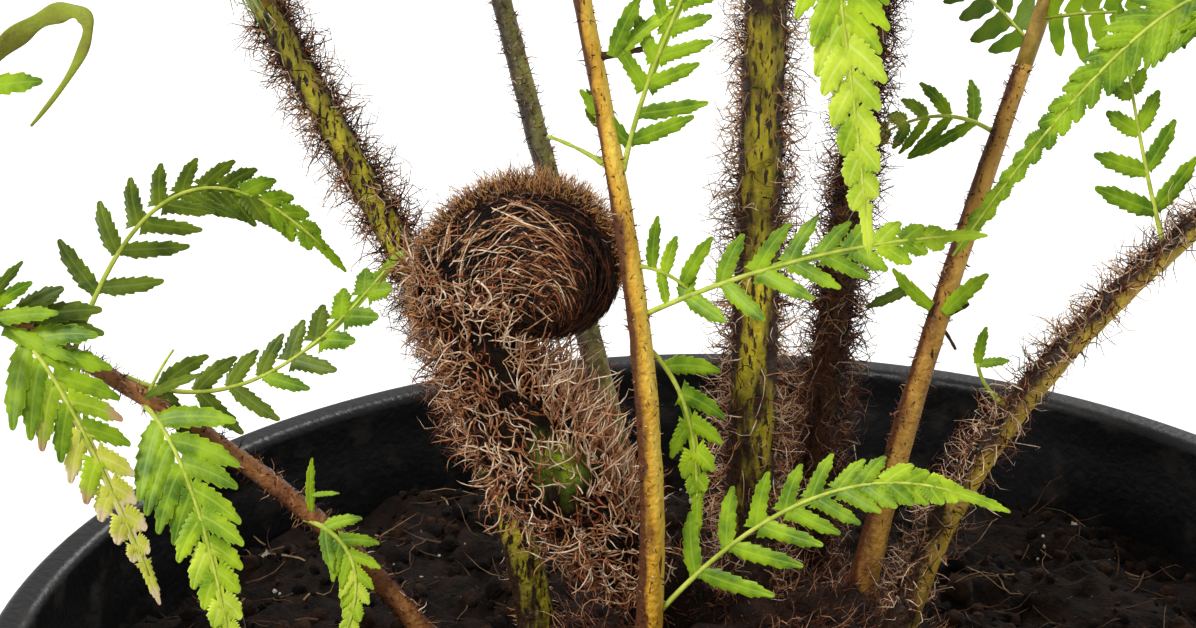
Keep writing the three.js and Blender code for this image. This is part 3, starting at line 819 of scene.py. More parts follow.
STALK_SKIN_AND_LIGHT.links.new(blend(STALK_SKIN_AND_LIGHT, fleck_share, tone, given.outputs["Fleck"]), put.inputs["Colour"])


def stalk_finish(name, colours, edge, flecks, roughness=0.48, shine=0.4):
    """A stalk's skin: three colours by the way it faces, partly its own colours and partly painted light and
    shade, and flecks.
    """
    made, tree, shader = blank(f"stalk_{name}", roughness, shine)
    values = dict(zip(("Bright", "Lit", "Dark", "Fleck"), [tint(colour) for colour in colours]))
    skin_and_light = place_group(tree, STALK_SKIN_AND_LIGHT, **values, Edge=edge, Flecks=flecks)
    tree.links.new(skin_and_light["Colour"], shader.inputs["Base Color"])
    roughen(tree, shader, scale=900.0, height=0.0006)
    return made


# %% How each stalk looks
# Colours from the brightest to the flecks, the way that the lit side faces, where it ends and how many flecks
# lie on it. The colours by the lit side are partly the stalk's own and partly painted light and shade.
STALK_KEYS = ("colours", "way", "edge", "flecks")
STALK_ROWS = {
    "left_tall": [("#e2cd32", "#a89c24", "#33200f", "#2a170b"), (0.3, -0.9, 0.1), 0.5, 0.9],
    "slim_front": [("#f4cb52", "#d8a02a", "#5c3216", "#6e3a16"), (0.9, -0.5, 0.1), 0.12, 0.5],
    "thick_centre": [("#f7e02a", "#c6b422", "#2e180b", "#3b2410"), (0, -1, 0), 0.87, 0.8],
    "behind_centre": [("#7d5c2a", "#5c3b1c", "#28150b", "#1a0d07"), (0, -1, 0), 0.8, 0.5],
    "right_back": [("#d4a149", "#a8782b", "#5a2f12", "#3a1d0d"), (0.5, -0.85, 0), 0.25, 0.5],
    "right_leaning": [("#dcb840", "#a98a2c", "#2e1b0e", "#24130a"), (0.55, -0.5, -0.65), 0.35, 0.6],
    "left_low": [("#a8703c", "#7f4c28", "#47251a", "#2a170d"), (0.1, -0.8, 0.6), 0.2, 0.5],
    "rear_left": [("#85803a", "#5d5526", "#2f2210", "#1f1409"), (0.7, -0.6, 0), 0.35, 0.5],
}
OTHER_STALK = [("#8f8d2a", "#6f6b20", "#331f10", "#201109"), (0, -0.5, -0.8), 0.2, 0.5]
STALK_LOOKS = {name: dict(zip(STALK_KEYS, STALK_ROWS.get(name, OTHER_STALK))) for name in FRONDS}
# Hair on each stalk: how many, from where up the stalk and how long, in millimetres, how curly, how bare
# the lit side is, and the shares of brown, dark, tan and pale hairs.
COATS = {
    "left_tall": (3400, 46, (1.6, 6.5), 0.4, 0.85, (0.44, 0.16, 0.28, 0.12)),
    "slim_front": (520, 8, (0.5, 1.7), 0.1, 0.5, (0.5, 0.3, 0.15, 0.05)),
    "thick_centre": (6400, 4, (1.8, 6.2), 0.45, 0.9, (0.3, 0.08, 0.34, 0.28)),
    "behind_centre": (6000, 4, (1.8, 5.6), 0.45, 0.4, (0.62, 0.14, 0.19, 0.05)),
    "right_back": (460, 30, (0.6, 1.8), 0.12, 0.4, (0.5, 0.3, 0.15, 0.05)),
    "right_leaning": (2900, 14, (1.4, 5.6), 0.42, 0.93, (0.34, 0.2, 0.24, 0.22)),
    "left_low": (900, 8, (0.8, 2.6), 0.16, 0.4, (0.4, 0.3, 0.2, 0.1)),
    "rear_left": (1200, 8, (0.8, 2.4), 0.14, 0.3, (0.4, 0.3, 0.2, 0.1)),
}
OTHER_COAT = (1400, 4, (1.2, 3.6), 0.25, 0.4, (0.45, 0.25, 0.2, 0.1))
STALK_SIDES, RING_EVERY = 22, 1.6
GROOVE_DEPTH, GROOVE_WIDTH, SWELL, SWELL_RUN = 0.1, 0.38, 0.3, 9
# Painted shade at a stalk's foot: how much it lowers the lit mark, and the run in millimetres over which it
# fades.
SHADE, SHADE_RUN = 1.1, 13


def stalk(name, frond, line):
    """A stalk's skin: its radius tapers and swells at the foot by exp(-s / run), a groove lies along the
    upper face, and small waves and ridges run round it. Its lit mark sinks at the foot: painted shade near
    the trunk."""
    look = STALK_LOOKS[name]
    s = np.linspace(0, frond["bare"] + 0.5, int(frond["bare"] / RING_EVERY))
    here = at(line, s)
    turn = full_turn(STALK_SIDES)
    from_top = np.abs((turn + np.pi) % (2 * np.pi) - np.pi)
    groove = 1 - GROOVE_DEPTH * np.exp(-((from_top / GROOVE_WIDTH) ** 2)) + 0.015 * np.cos(9 * turn)
    size = stalk_radius(frond, s) * (1 + SWELL * np.exp(-s / SWELL_RUN))
    ways = spokes(turn, here["up"][:, None], here["side"][:, None])
    knobs = 1 + 0.022 * waves(here["point"][:, None] + ways * 3, 4, 21)
    points, faces = skin(here["point"], here["up"], here["side"], size[:, None] * groove * knobs, STALK_SIDES)
    # The lit mark: how far each point faces the lit way, less the painted shade at the foot.
    lit = (ways @ unit(np.array(look["way"], float)) - SHADE * np.exp(-s / SHADE_RUN)[:, None]).ravel()
    finish = stalk_finish(name, look["colours"], look["edge"], look["flecks"])
    piece(f"{name}_skin", points, faces, [finish], "stalk", [f"{name}_stalk"], marks={"lit": lit})


def coat(name, frond, line):
    """The hair of a stalk: roots at chance lengths and turns, thinned on the lit side, each hair
    leaning out and a little up the stalk."""
    count, start, (short, long), curl, bare, shares = COATS.get(name, OTHER_COAT)
    chance = dice(name + " hair")
    way = unit(np.array(STALK_LOOKS[name]["way"], float))
    s = start + (frond["bare"] - start) * chance.random(count) ** 1.15
    turn = chance.uniform(0, 2 * np.pi, count)
    here = at(line, s)
    spoke = spokes(turn, here["up"], here["side"])
    stays = chance.random(count) > bare * ease((spoke @ way - 0.25) / 0.5)
    roots = here["point"] + spoke * (stalk_radius(frond, s) * 0.94)[:, None]
    rise = here["along"] * chance.uniform(-0.5, 0.8, (count, 1))
    lie = unit(spoke + rise + 0.45 * chance.normal(size=roots.shape))
    lengths = chance.uniform(short, long, count)
    paths = wavy(roots[stays], lie[stays], lengths[stays], curl, 5, chance)
    thick, which = chance.uniform(0.09, 0.16, len(paths)), chance.choice(4, len(paths), p=shares)
    hairs(f"{name}_hair", paths, thick, [HAIR_BROWN, HAIR_DARK, HAIR_TAN, HAIR_PALE], which, "stalk")


for name, frond in FRONDS.items():
    stalk(name, frond, lines[name])
    coat(name, frond, lines[name])
hair_triangles = sum(count for name, count in triangles.items() if name.endswith("_hair"))
print(f"{len(FRONDS)} stalks, {hair_triangles} triangles of hair")

# %% [markdown]
# ## A toothed leaflet
# The smallest blade of the fern is an oblong, a centimetre long, with forward teeth along both edges, a
# sunk midrib and pleats that run out to the teeth. It is worked out on a grid: u from root to tip and
# v from edge to edge. The near sprays take a fine grid, and the crown the same formula on a coarse one,
# since the crown holds some twenty thousand of them.

# %% The leaflet's formula
def leaflet_shape(stations, columns, teeth, foot=0.7):
    """A leaflet one unit long and one wide. Half width = foot at the root, easing to 1, times
    (1 - u^3.2)^0.7, cut back by a saw that grows towards each forward tooth. Height = a crown of -v^2,
    a furrow at the midrib, and pleats between the teeth."""
    u, v = np.meshgrid(np.linspace(0, 1, stations), np.linspace(-1, 1, columns), indexing="ij")
    saw = (u * teeth) % 1
    edge = np.abs(v)
    half = 0.5 * mix(foot, 1, ease(u / 0.24)) * np.maximum(0.06, (1 - u**3.2)) ** 0.7
    bite = 1 - 0.28 * (1 - saw) * edge**2 * (u > 0.04)
    across = v * half * bite
    forward = u + 0.036 * edge * saw
    pleat = 0.022 * np.cos(2 * np.pi * (u * teeth - 0.8 * edge)) * edge * (1 - 0.4 * edge)
    height = -0.2 * v**2 * half + 0.06 * np.minimum(edge * 4, 1) + pleat
    shape = np.stack([forward, across, height], -1).reshape(-1, 3)
    uv = np.stack([u, (v + 1) / 2], -1).reshape(-1, 2)
    return shape, grid_faces(stations, columns), uv


TEETH = 7
FREE_LEAF, NEAR_FACES, NEAR_UV = leaflet_shape(3 * TEETH + 1, 7, TEETH, 0.6)
FUSED_LEAF, _, _ = leaflet_shape(3 * TEETH + 1, 7, TEETH, 1.3)
FAR_LEAF, FAR_FACES, _ = leaflet_shape(7, 3, 3)
print(f"near leaflet {len(NEAR_FACES)} triangles, far leaflet {len(FAR_FACES)}")

# %% [markdown]
# ## The greens
# Light comes through a young blade, and its veins are paler than the rest. The near sprays have a group that
# reads the leaflet's own UV map and draws the midrib, the side veins that end in the teeth, and a paler rim
# along the teeth, partly the leaflet's own pale margin and partly a painted highlight. At the outer left the
# leaflets' tips have dried, so a second group lays a dry colour over them. The crown is cut into many joined
# leaflets, so there each side branch gets one of a few plain greens.

# %% Veins from the leaflet's UV
VEINS, given, put = node_group(
    "leaf_veins",
    {"Body": ("Color", white), "Vein": ("Color", white), "Teeth": ("Float", float(TEETH))},
    {"Colour": "Color", "Height": "Float"},
)
flat = VEINS.nodes.new("ShaderNodeSeparateXYZ")
VEINS.links.new(VEINS.nodes.new("ShaderNodeTexCoord").outputs["UV"], flat.inputs[0])
along_leaf, over_leaf = flat.outputs[0], flat.outputs[1]
edge = reckon(VEINS, "MULTIPLY", reckon(VEINS, "ABSOLUTE", reckon(VEINS, "SUBTRACT", over_leaf, 0.5)), 2.0)
midrib = spread(VEINS, edge, 0.04, 0.14, 0.34, 0.0)
tooth = reckon(VEINS, "MULTIPLY", along_leaf, given.outputs["Teeth"])
run = reckon(VEINS, "SUBTRACT", tooth, reckon(VEINS, "MULTIPLY", edge, 0.8))
off = reckon(VEINS, "ABSOLUTE", reckon(VEINS, "SUBTRACT", reckon(VEINS, "FRACT", run), 0.5))
side_vein = spread(VEINS, off, 0.03, 0.16, 0.1, 0.0)
# A paler rim along the teeth in the vein colour: partly the leaflet's own pale margin and partly a painted
# highlight.
rim = spread(VEINS, edge, 0.84, 1.0, 0.0, 0.6)
mask = reckon(VEINS, "MAXIMUM", reckon(VEINS, "MAXIMUM", midrib, side_vein), rim)
VEINS.links.new(blend(VEINS, mask, given.outputs["Body"], given.outputs["Vein"]), put.inputs["Colour"])
VEINS.links.new(reckon(VEINS, "SUBTRACT", 1.0, mask), put.inputs["Height"])


# %% Tips that have dried
# Share of the dry colour = length along the leaflet + 0.7 of a cloud, cut off between two levels.
DRY_TIPS, given, put = node_group(
    "dry_tips", {"Body": ("Color", white), "Dry": ("Color", white)}, {"Colour": "Color"}
)
flat = DRY_TIPS.nodes.new("ShaderNodeSeparateXYZ")
DRY_TIPS.links.new(DRY_TIPS.nodes.new("ShaderNodeTexCoord").outputs["UV"], flat.inputs[0])
cloud = reckon(DRY_TIPS, "MULTIPLY", noise(DRY_TIPS, 190.0), 0.7)
dried = spread(DRY_TIPS, reckon(DRY_TIPS, "ADD", flat.outputs[0], cloud), 1.0, 1.24)
DRY_TIPS.links.new(blend(DRY_TIPS, dried, given.outputs["Body"], given.outputs["Dry"]), put.inputs["Colour"])


# %% A green for each leaf
def leaf_finish(name, light, deep, vein=None, dry=None):
    """A leaf's green: a mottle of two tones with a soft sheen, veins and a paler rim where a vein colour is
    given, the rim partly painted highlight, and dried tips where a dry colour is given."""
    made, tree, shader = blank(name, roughness=0.46, shine=0.24)
    mottle = place_group(tree, MOTTLE, First=tint(light), Second=tint(deep), Scale=210.0, Balance=0.5)
    green = mottle["Colour"]
    shader.inputs["Subsurface Weight"].default_value = 0.12
    shader.inputs["Subsurface Radius"].default_value = (0.6, 1.0, 0.2)
    shader.inputs["Subsurface Scale"].default_value = 0.002
    if vein:
        veins = place_group(tree, VEINS, Body=green, Vein=tint(vein))
        bump = tree.nodes.new("ShaderNodeBump")
        bump.inputs["Strength"].default_value = 0.3
        bump.inputs["Distance"].default_value = 0.0002
        tree.links.new(veins["Height"], bump.inputs["Height"])
        tree.links.new(bump.outputs["Normal"], shader.inputs["Normal"])
        green = veins["Colour"]
        if dry:
            green = place_group(tree, DRY_TIPS, Body=green, Dry=tint(dry))["Colour"]
    else:
        roughen(tree, shader, scale=1200.0, height=0.0002)
    tree.links.new(green, shader.inputs["Base Color"])
    return made


# Each green's two tones, its veins and its dried tips. The crown's greens have neither veins nor dry tips.
NEAR_TONES = {
    "fresh": ("#8fae12", "#4c6f06", "#a9c63a"),
    "bright": ("#a8c41c", "#6f920c", "#cbdc5c"),
    "pale": ("#c3d53c", "#97b41e", "#dfe98a"),
    "deep": ("#66780e", "#3d5006", "#84983a"),
    "drying": ("#a8c41c", "#7f9a14", "#cbdc5c", "#b58d6c"),
    "dried": ("#cfd24a", "#b4b43a", "#e6e39a", "#d9c49a"),
}
CROWN_TONES = {
    "fresh": ("#7d9a12", "#5a7d0c"),
    "mid": ("#647f12", "#49690c"),
    "deep": ("#4f6610", "#35500a"),
    "yellow": ("#96a91f", "#76901a"),
}
NEAR_GREENS = {name: leaf_finish(f"leaf_{name}", *tones) for name, tones in NEAR_TONES.items()}
CROWN_GREENS = [leaf_finish(f"crown_{name}", *tones) for name, tones in CROWN_TONES.items()]
RIB_GREEN = mottled("rib_green", "#c6cf58", "#a0ae36", scale=300.0, roughness=0.5, relief=(900.0, 0.0003))
RIB_BROWN = mottled("rib_brown", "#a98a3c", "#6f5426", scale=300.0, roughness=0.5, relief=(900.0, 0.0003))

# %% [markdown]
# ## The crown
# Above its bare stalk a frond is a rib with side branches in pairs, and each branch has leaflets in
# pairs. The solids have ten broad leaflets a side; here each is carried on to finer ones, by the same
# outline: short at the foot, full past a third of the way, and drawn in to the tip. A leaflet that
# would touch a stalk or the bud is left out.

# %% Where side branches and leaflets spring
FORWARD, LIFT, SAG = np.radians(24), np.radians(8), 0.16
BRANCH_PITCH, LEAF_PITCH = 17.5, 4.7
RIB_STEPS, RIB_SIDES, BRANCH_STEPS = 70, 8, 6
FEWEST, MOST = 4, 26  # leaflets along one edge of a side branch
SPLAY, TWIST = 26, 9
GREEN_SHARES = [0.34, 0.38, 0.2, 0.08]
DOWN = np.array([0, 0, -1.0])
BUD_CENTRE, BUD_REACH = np.array([-33, 0, 272.0]), 24
CLEAR_STEPS, CLEAR_GAP = 24, 0.8
bare_runs = [at(lines[name], np.linspace(0, frond["bare"], CLEAR_STEPS)) for name, frond in FRONDS.items()]
clear_points = np.concatenate([run["point"] for run in bare_runs])
clear_reach = np.repeat([frond["radius"] + CLEAR_GAP for frond in FRONDS.values()], CLEAR_STEPS)


def outline_share(t):
    """How long side branches are along a frond, as a share of the longest."""
    return np.minimum(1, 0.42 + 1.9 * t) * np.maximum(0, 1 - t) ** 0.62 * 1.12


def is_free(points):
    """True for points that keep clear of every stalk and of the bud."""
    gap = np.linalg.norm(points[:, None] - clear_points[None], axis=-1) - clear_reach
    return (gap.min(1) > 0) & (np.linalg.norm(points - BUD_CENTRE, axis=-1) > BUD_REACH)


def side_branches(frond, line, chance):
    """The side branches of a frond: root, direction, face, length and sag of each."""
    run = frond["length"] - frond["bare"]
    pairs = round(run / BRANCH_PITCH)
    place = (np.arange(pairs) + 0.35)[:, None] + 0.12 * np.array([-1, 1])
    share = (place / pairs).ravel()
    hand = np.tile([-1.0, 1.0], pairs)[:, None]
    here = at(line, frond["bare"] + run * share)
    swing = FORWARD + np.radians(chance.normal(0, 3.5, (len(share), 1)))
    raised = LIFT + np.radians(chance.normal(0, 4, (len(share), 1)))
    direction = unit(
        here["side"] * hand * np.cos(swing) + here["along"] * np.sin(swing) + here["up"] * np.sin(raised)
    )
    facing = square_to(here["up"], direction)
    length = frond["reach"] * outline_share(share) * chance.uniform(0.93, 1.0, len(share))
    sag = SAG * chance.uniform(0.7, 1.5, len(share))
    return here["point"], direction, facing, length, sag


def branch_point(root, direction, reach, sag, w):
    """A point at a share w of a side branch: root + direction * reach * w, let down by sag * reach * w^2."""
    return root + direction * reach * w + DOWN * (sag * reach * w**2)


def blade_ribs(name, frond, line, branches, nodes):
    """A frond's rib above its stalk, and the thin ribs of its side branches, as one piece."""
    root, direction, _, length, sag = branches
    s = np.linspace(frond["bare"], frond["length"], RIB_STEPS)
    here = at(line, s)
    rib_radius = mix(frond["radius"] * RIB_SHARE, RIB_TIP, (s - frond["bare"]) / (s[-1] - s[0]))
    rib = skin(here["point"], here["up"], here["side"], rib_radius, RIB_SIDES)
    w = np.linspace(0, 1, BRANCH_STEPS)[None, :, None]
    paths = branch_point(root[:, None], direction[:, None], length[:, None, None], sag[:, None, None], w)
    twigs = threads(paths, 0.28 + 0.0035 * length)
    picks = np.concatenate([np.zeros(len(rib[1])), np.ones(len(twigs[1]))])
    piece(f"{name}_ribs", *together([rib, twigs]), [RIB_BROWN, RIB_GREEN], "leaf", nodes, picks)


def blade(name, frond, line):
    """A whole frond above its stalk: its ribs, and leaflets in pairs along each side branch. A leaflet at
    share u is as long as the gap between branches allows, times (0.7 + 2.2 u, at most 1) * (1 - u)^0.5."""
    chance = dice(name + " blade")
    branches = side_branches(frond, line, chance)
    nodes = [f"{name}_blade_low", f"{name}_blade_tip"]
    blade_ribs(name, frond, line, branches, nodes)
    root, direction, facing, length, sag = branches

    counts = np.clip(np.round(length / LEAF_PITCH), FEWEST, MOST).astype(int)
    which = np.repeat(np.arange(len(root)), counts)
    order = np.arange(len(which)) - np.repeat(np.cumsum(counts) - counts, counts)
    leaf_share = (order + 0.6) / counts[which]
    which, leaf_share = np.repeat(which, 2), np.repeat(leaf_share, 2)
    hand = np.tile([-1.0, 1.0], len(order))[:, None]
    leaf_share = leaf_share + 0.16 * hand[:, 0] / counts[which]
    w, reach, bend = leaf_share[:, None], length[which][:, None], sag[which][:, None]
    foot = branch_point(root[which], direction[which], reach, bend, w)
    tangent = unit(direction[which] + DOWN * 2 * bend * w)
    twist = np.radians(chance.normal(0, TWIST, len(which)))[:, None]
    face = square_to(facing[which], tangent)
    across = np.cross(tangent, face)
    cos, sin = np.cos(twist), np.sin(twist)
    across, face = across * cos + face * sin, face * cos - across * sin
    splay = np.radians(SPLAY + chance.normal(0, 4, len(which)))[:, None]
    along = unit(across * hand * np.cos(splay) + tangent * np.sin(splay) + face * 0.08)
    full = np.minimum(0.62 * BRANCH_PITCH, 0.2 * length[which])
    size = full * np.minimum(1, 0.7 + 2.2 * leaf_share) * np.maximum(0.05, 1 - leaf_share) ** 0.5
    size = size * chance.uniform(0.9, 1.06, len(which))
    width = np.minimum(length[which] / counts[which] * 1.02, size * 0.62)
    sweep = tangent * (0.16 * size)[:, None] + DOWN * (0.1 * size)[:, None]
    free = is_free(foot + along * size[:, None])
    leaf_across = np.cross(along, face)
    parts = [v[free] for v in (foot, along, leaf_across, face, size, width, sweep)]
    points, faces = stamp(FAR_LEAF, FAR_FACES, *parts)
    greens = chance.choice(len(CROWN_GREENS), len(root), p=GREEN_SHARES)
    picks = np.repeat(greens[which[free]], len(FAR_FACES))
    piece(f"{name}_leaflets", points, faces, CROWN_GREENS, "leaf", nodes, picks)
    return int(free.sum())


grown = {name: blade(name, frond, lines[name]) for name, frond in FRONDS.items()}
print(f"{sum(grown.values())} leaflets on {len(grown)} fronds")

# %% [markdown]
# ## The near sprays
# Thirteen side sprays spring from the bare part of the stalks, close to the eye. Each has a thin rib on
# a quadratic curve and toothed leaflets in pairs. The lowest pairs are free, with a narrow foot, and the
# rest have a broad foot and run together into one lobed blade that ends in a leaflet at the tip. Their
# faces look up and forward, as they do when light comes from the front.

# %% The sprays' places
SPRAY_KEYS = ("stalk", "at", "pull", "tip", "reach", "green", "pitch", "fill")
SPRAY_ROWS = {
    "spray_low_right": ["slim_front", 17, (26, 2, 29), (50, 1, 20), 12, "fresh", 4.9, 0.64],
    "spray_mid_right": ["slim_front", 68, (24, -2, 12), (48, 0, 13), 12.5, "fresh", 5.4, 0.6],
    "spray_hanging": ["slim_front", 62, (9, 2, -8), (9, 3, -27), 10.5, "fresh", 5.8, 0.62],
    "spray_upper_right": ["slim_front", 91, (4, 1, 16), (17, 2, 42), 12, "fresh", 5.2, 0.6],
    "spray_front": ["thick_centre", 142, (5, -30, 6), (12, -44, -56), 17, "bright", 4.8, 0.95],
    "spray_behind": ["right_back", 88, (-9, 8, 4), (-19, 16, -6), 12, "fresh", 5.4, 0.6],
    "spray_rising": ["right_leaning", 88, (-5, 2, 14), (-9, 4, 34), 12, "even", 6.4, 0.56],
    "spray_right": ["right_leaning", 114, (-6, 6, 54), (-54, -6, -17), 17, "even", 3.4, 0.95],
    "spray_left_inner": ["left_low", 88, (9, -10, -6), (14, -18, -37), 12.5, "bright", 4.9, 0.9],
    "spray_left_outer": ["left_low", 112, (8, -8, -3), (20, -10, -39), 12.5, "drying", 5, 0.85],
    "spray_left_back": ["left_low", 102, (12, 31, 34), (38, 26, 8), 11, "deep", 5.6, 0.64],
    "spray_left_far": ["left_low", 93, (20, 6, -12), (42, 12, 15), 9.5, "deep", 6, 0.56],
    "spray_left_small": ["left_low", 55, (12, -4, -4), (6, -8, -19), 7, "bright", 3.5, 0.75],
}
# What most sprays share: how small the lowest leaflets start, how fast they shorten, the length of the
# last one, up to which share they are free, and half the width of the wing along the rib. A few differ.
USUAL = dict(first=0.8, taper=0.75, tail=6, free=0.28, wing=0.7)
UNUSUAL = {
    "spray_low_right": dict(tail=7.5),
    "spray_mid_right": dict(first=0.25),
    "spray_behind": dict(free=0.9),
    "spray_rising": dict(free=1.0),
    "spray_right": dict(taper=1.1, tail=4, wing=1.1),
    "spray_left_back": dict(taper=0.6),
    "spray_left_far": dict(taper=0.4, free=0.6),
}
SPRAYS = {
    name: {**dict(zip(SPRAY_KEYS, row)), **USUAL, **UNUSUAL.get(name, {})} for name, row in SPRAY_ROWS.items()
}
GREENS_ALONG = {
    "fresh": ["fresh", "fresh", "bright"],
    "bright": ["fresh", "bright", "pale"],
    "even": ["fresh", "fresh", "fresh"],
    "deep": ["deep", "deep", "fresh"],
    "drying": ["fresh", "drying", "dried"],
}
SPRAY_STEPS, SPRAY_RIB = 40, (0.46, 0.2)
TAIL_AT, TAIL_WIDTH = 0.965, 2.3
WING_END, WING_STEPS, WING_UV = 0.97, 30, 0.78
LOOKS_AT = unit(np.array([0.05, -0.82, 0.57]))


def spray_curve(spec):
    """A spray's curve, (1-u)^2 root + 2u(1-u) pull + u^2 tip, as two functions: its points and its
    heading. The root stands just clear of the stalk."""
    frond = FRONDS[spec["stalk"]]
    here = at(lines[spec["stalk"]], spec["at"])
    tip = np.array(spec["tip"], float)
    root = here["point"] + square_to(tip, here["along"]) * (stalk_radius(frond, spec["at"]) * 0.8)
    pull, tip = here["point"] + np.array(spec["pull"], float), here["point"] + tip

    def curve(u):
        return (1 - u) ** 2 * root + 2 * u * (1 - u) * pull + u**2 * tip

    def heading(u):
        return unit((1 - u) * (pull - root) + u * (tip - pull))

    return curve, heading


def across_and_up(tangent):
    """At each point of a line, the way across its leaflets and the way up from their face."""
    side = unit(np.cross(tangent, LOOKS_AT))
    return side, np.cross(side, tangent)


def spray_rib(name, curve, heading):
    """The rib of a spray as a piece. Gives back the length of its curve."""
    u = np.linspace(0, 1, SPRAY_STEPS)[:, None]
    line = curve(u)
    side, up = across_and_up(heading(u))
    points, faces = skin(line, up, side, mix(*SPRAY_RIB, u[:, 0]), RIB_SIDES)
    piece(f"{name}_rib", points, faces, [RIB_GREEN], "leaf", [name])
    return np.linalg.norm(np.diff(line, axis=0), axis=1).sum()


def spray_wing(spec, curve, heading):
    """The strip along the rib that joins the broad-footed leaflets, and each of its faces' shade."""
    joined = spec["free"]
    u = np.linspace(min(joined, 0.9), WING_END, WING_STEPS)[:, None]
    line, side = curve(u), across_and_up(heading(u))[0] * spec["wing"] * ease((u - joined) / 0.2)
    faces = grid_faces(WING_STEPS, 2)
    shade = np.clip(3 * mix(joined, WING_END, np.arange(len(faces)) / len(faces)), 0, 2).astype(int)
    return (np.stack([line - side, line + side], 1).reshape(-1, 3), faces), shade


def spray(name, spec):
    """A spray: its rib, and its leaflets with a last one at the tip. A leaflet at share u is as long as
    reach * (first + 2.2 u, at most 1) * (1.03 - u)^taper."""
    chance = dice(name)
    curve, heading = spray_curve(spec)
    run = spray_rib(name, curve, heading)
    pairs = round(run / spec["pitch"])
    q = (np.arange(pairs) + 0.5) / pairs
    place = 0.07 + 0.89 * q * (1.3 - 0.3 * q)
    gap = np.gradient(place) * run
    place = np.concatenate([np.repeat(place, 2) + np.tile([-0.006, 0.006], pairs), [TAIL_AT]])
    gap = np.concatenate([np.repeat(gap, 2), gap[-1:]])
    hand = np.concatenate([np.tile([-1.0, 1.0], pairs), [0.0]])[:, None]
    w = place[:, None]
    foot, tangent = curve(w), heading(w)
    side, face = across_and_up(tangent)
    splay = np.radians(28 + 20 * place + chance.normal(0, 4, len(place)))[:, None]
    tilt = face * chance.normal(0.05, 0.08, hand.shape)
    along = unit(side * hand * np.cos(splay) + tangent * np.sin(splay) + tilt)
    first = np.minimum(1, spec["first"] + 2.2 * place)
    size = spec["reach"] * first * (1.03 - place) ** spec["taper"]
    width = gap * mix(spec["fill"], spec["fill"] + 0.4, ease((place - 0.5) / 0.4))
    is_tail = hand[:, 0] == 0
    size = np.maximum(size * chance.uniform(0.9, 1.06, len(place)), 1.8)
    size = np.where(is_tail, spec["tail"], size)
    free = place < spec["free"]
    width = np.where(is_tail, TAIL_WIDTH, np.minimum(width, size * np.where(free, 0.8, 1.7)))
    across = unit(np.cross(along, face))
    lifted = np.cross(across, along)
    sweep = tangent * (0.2 * size)[:, None] + DOWN * (0.12 * size)[:, None]
    shade = np.clip(3 * place - 0.3 + chance.normal(0, 0.4, len(place)), 0, 2.9).astype(int)
    clear = is_free(foot + along * size[:, None] * 0.9) | is_tail
    layers, shades = [], []
    for shape, chosen in ((FREE_LEAF, free), (FUSED_LEAF, ~free)):
        parts = [v[clear & chosen] for v in (foot, along, across, lifted, size, width, sweep)]
        layers.append(stamp(shape, NEAR_FACES, *parts))
        shades.append(np.repeat(shade[clear & chosen], len(NEAR_FACES)))
    wing, wing_shade = spray_wing(spec, curve, heading)
    layers.append(wing)
    shades.append(wing_shade)
    uv = np.concatenate([np.tile(NEAR_UV, (int(clear.sum()), 1)), np.full((2 * WING_STEPS, 2), WING_UV)])
    looks = [NEAR_GREENS[green] for green in GREENS_ALONG[spec["green"]]]
    piece(f"{name}_leaflets", *together(layers), looks, "leaf", [name], np.concatenate(shades), uv=uv)
    return int(clear.sum())


near = {name: spray(name, spec) for name, spec in SPRAYS.items()}
print(f"{sum(near.values())} near leaflets on {len(near)} sprays")

# %% [markdown]
# ## Shoots, scars and stray leaflets
# A real stalk isn't clean between its sprays. It carries a few single leaflets, bare twigs, brown stubs
# where a twig has dropped, and at the left one long leaf that has withered to a curl. They are too small
# to be solids of the part, so they are made here, each rooted in the stalk, twig or leaf that carries it.

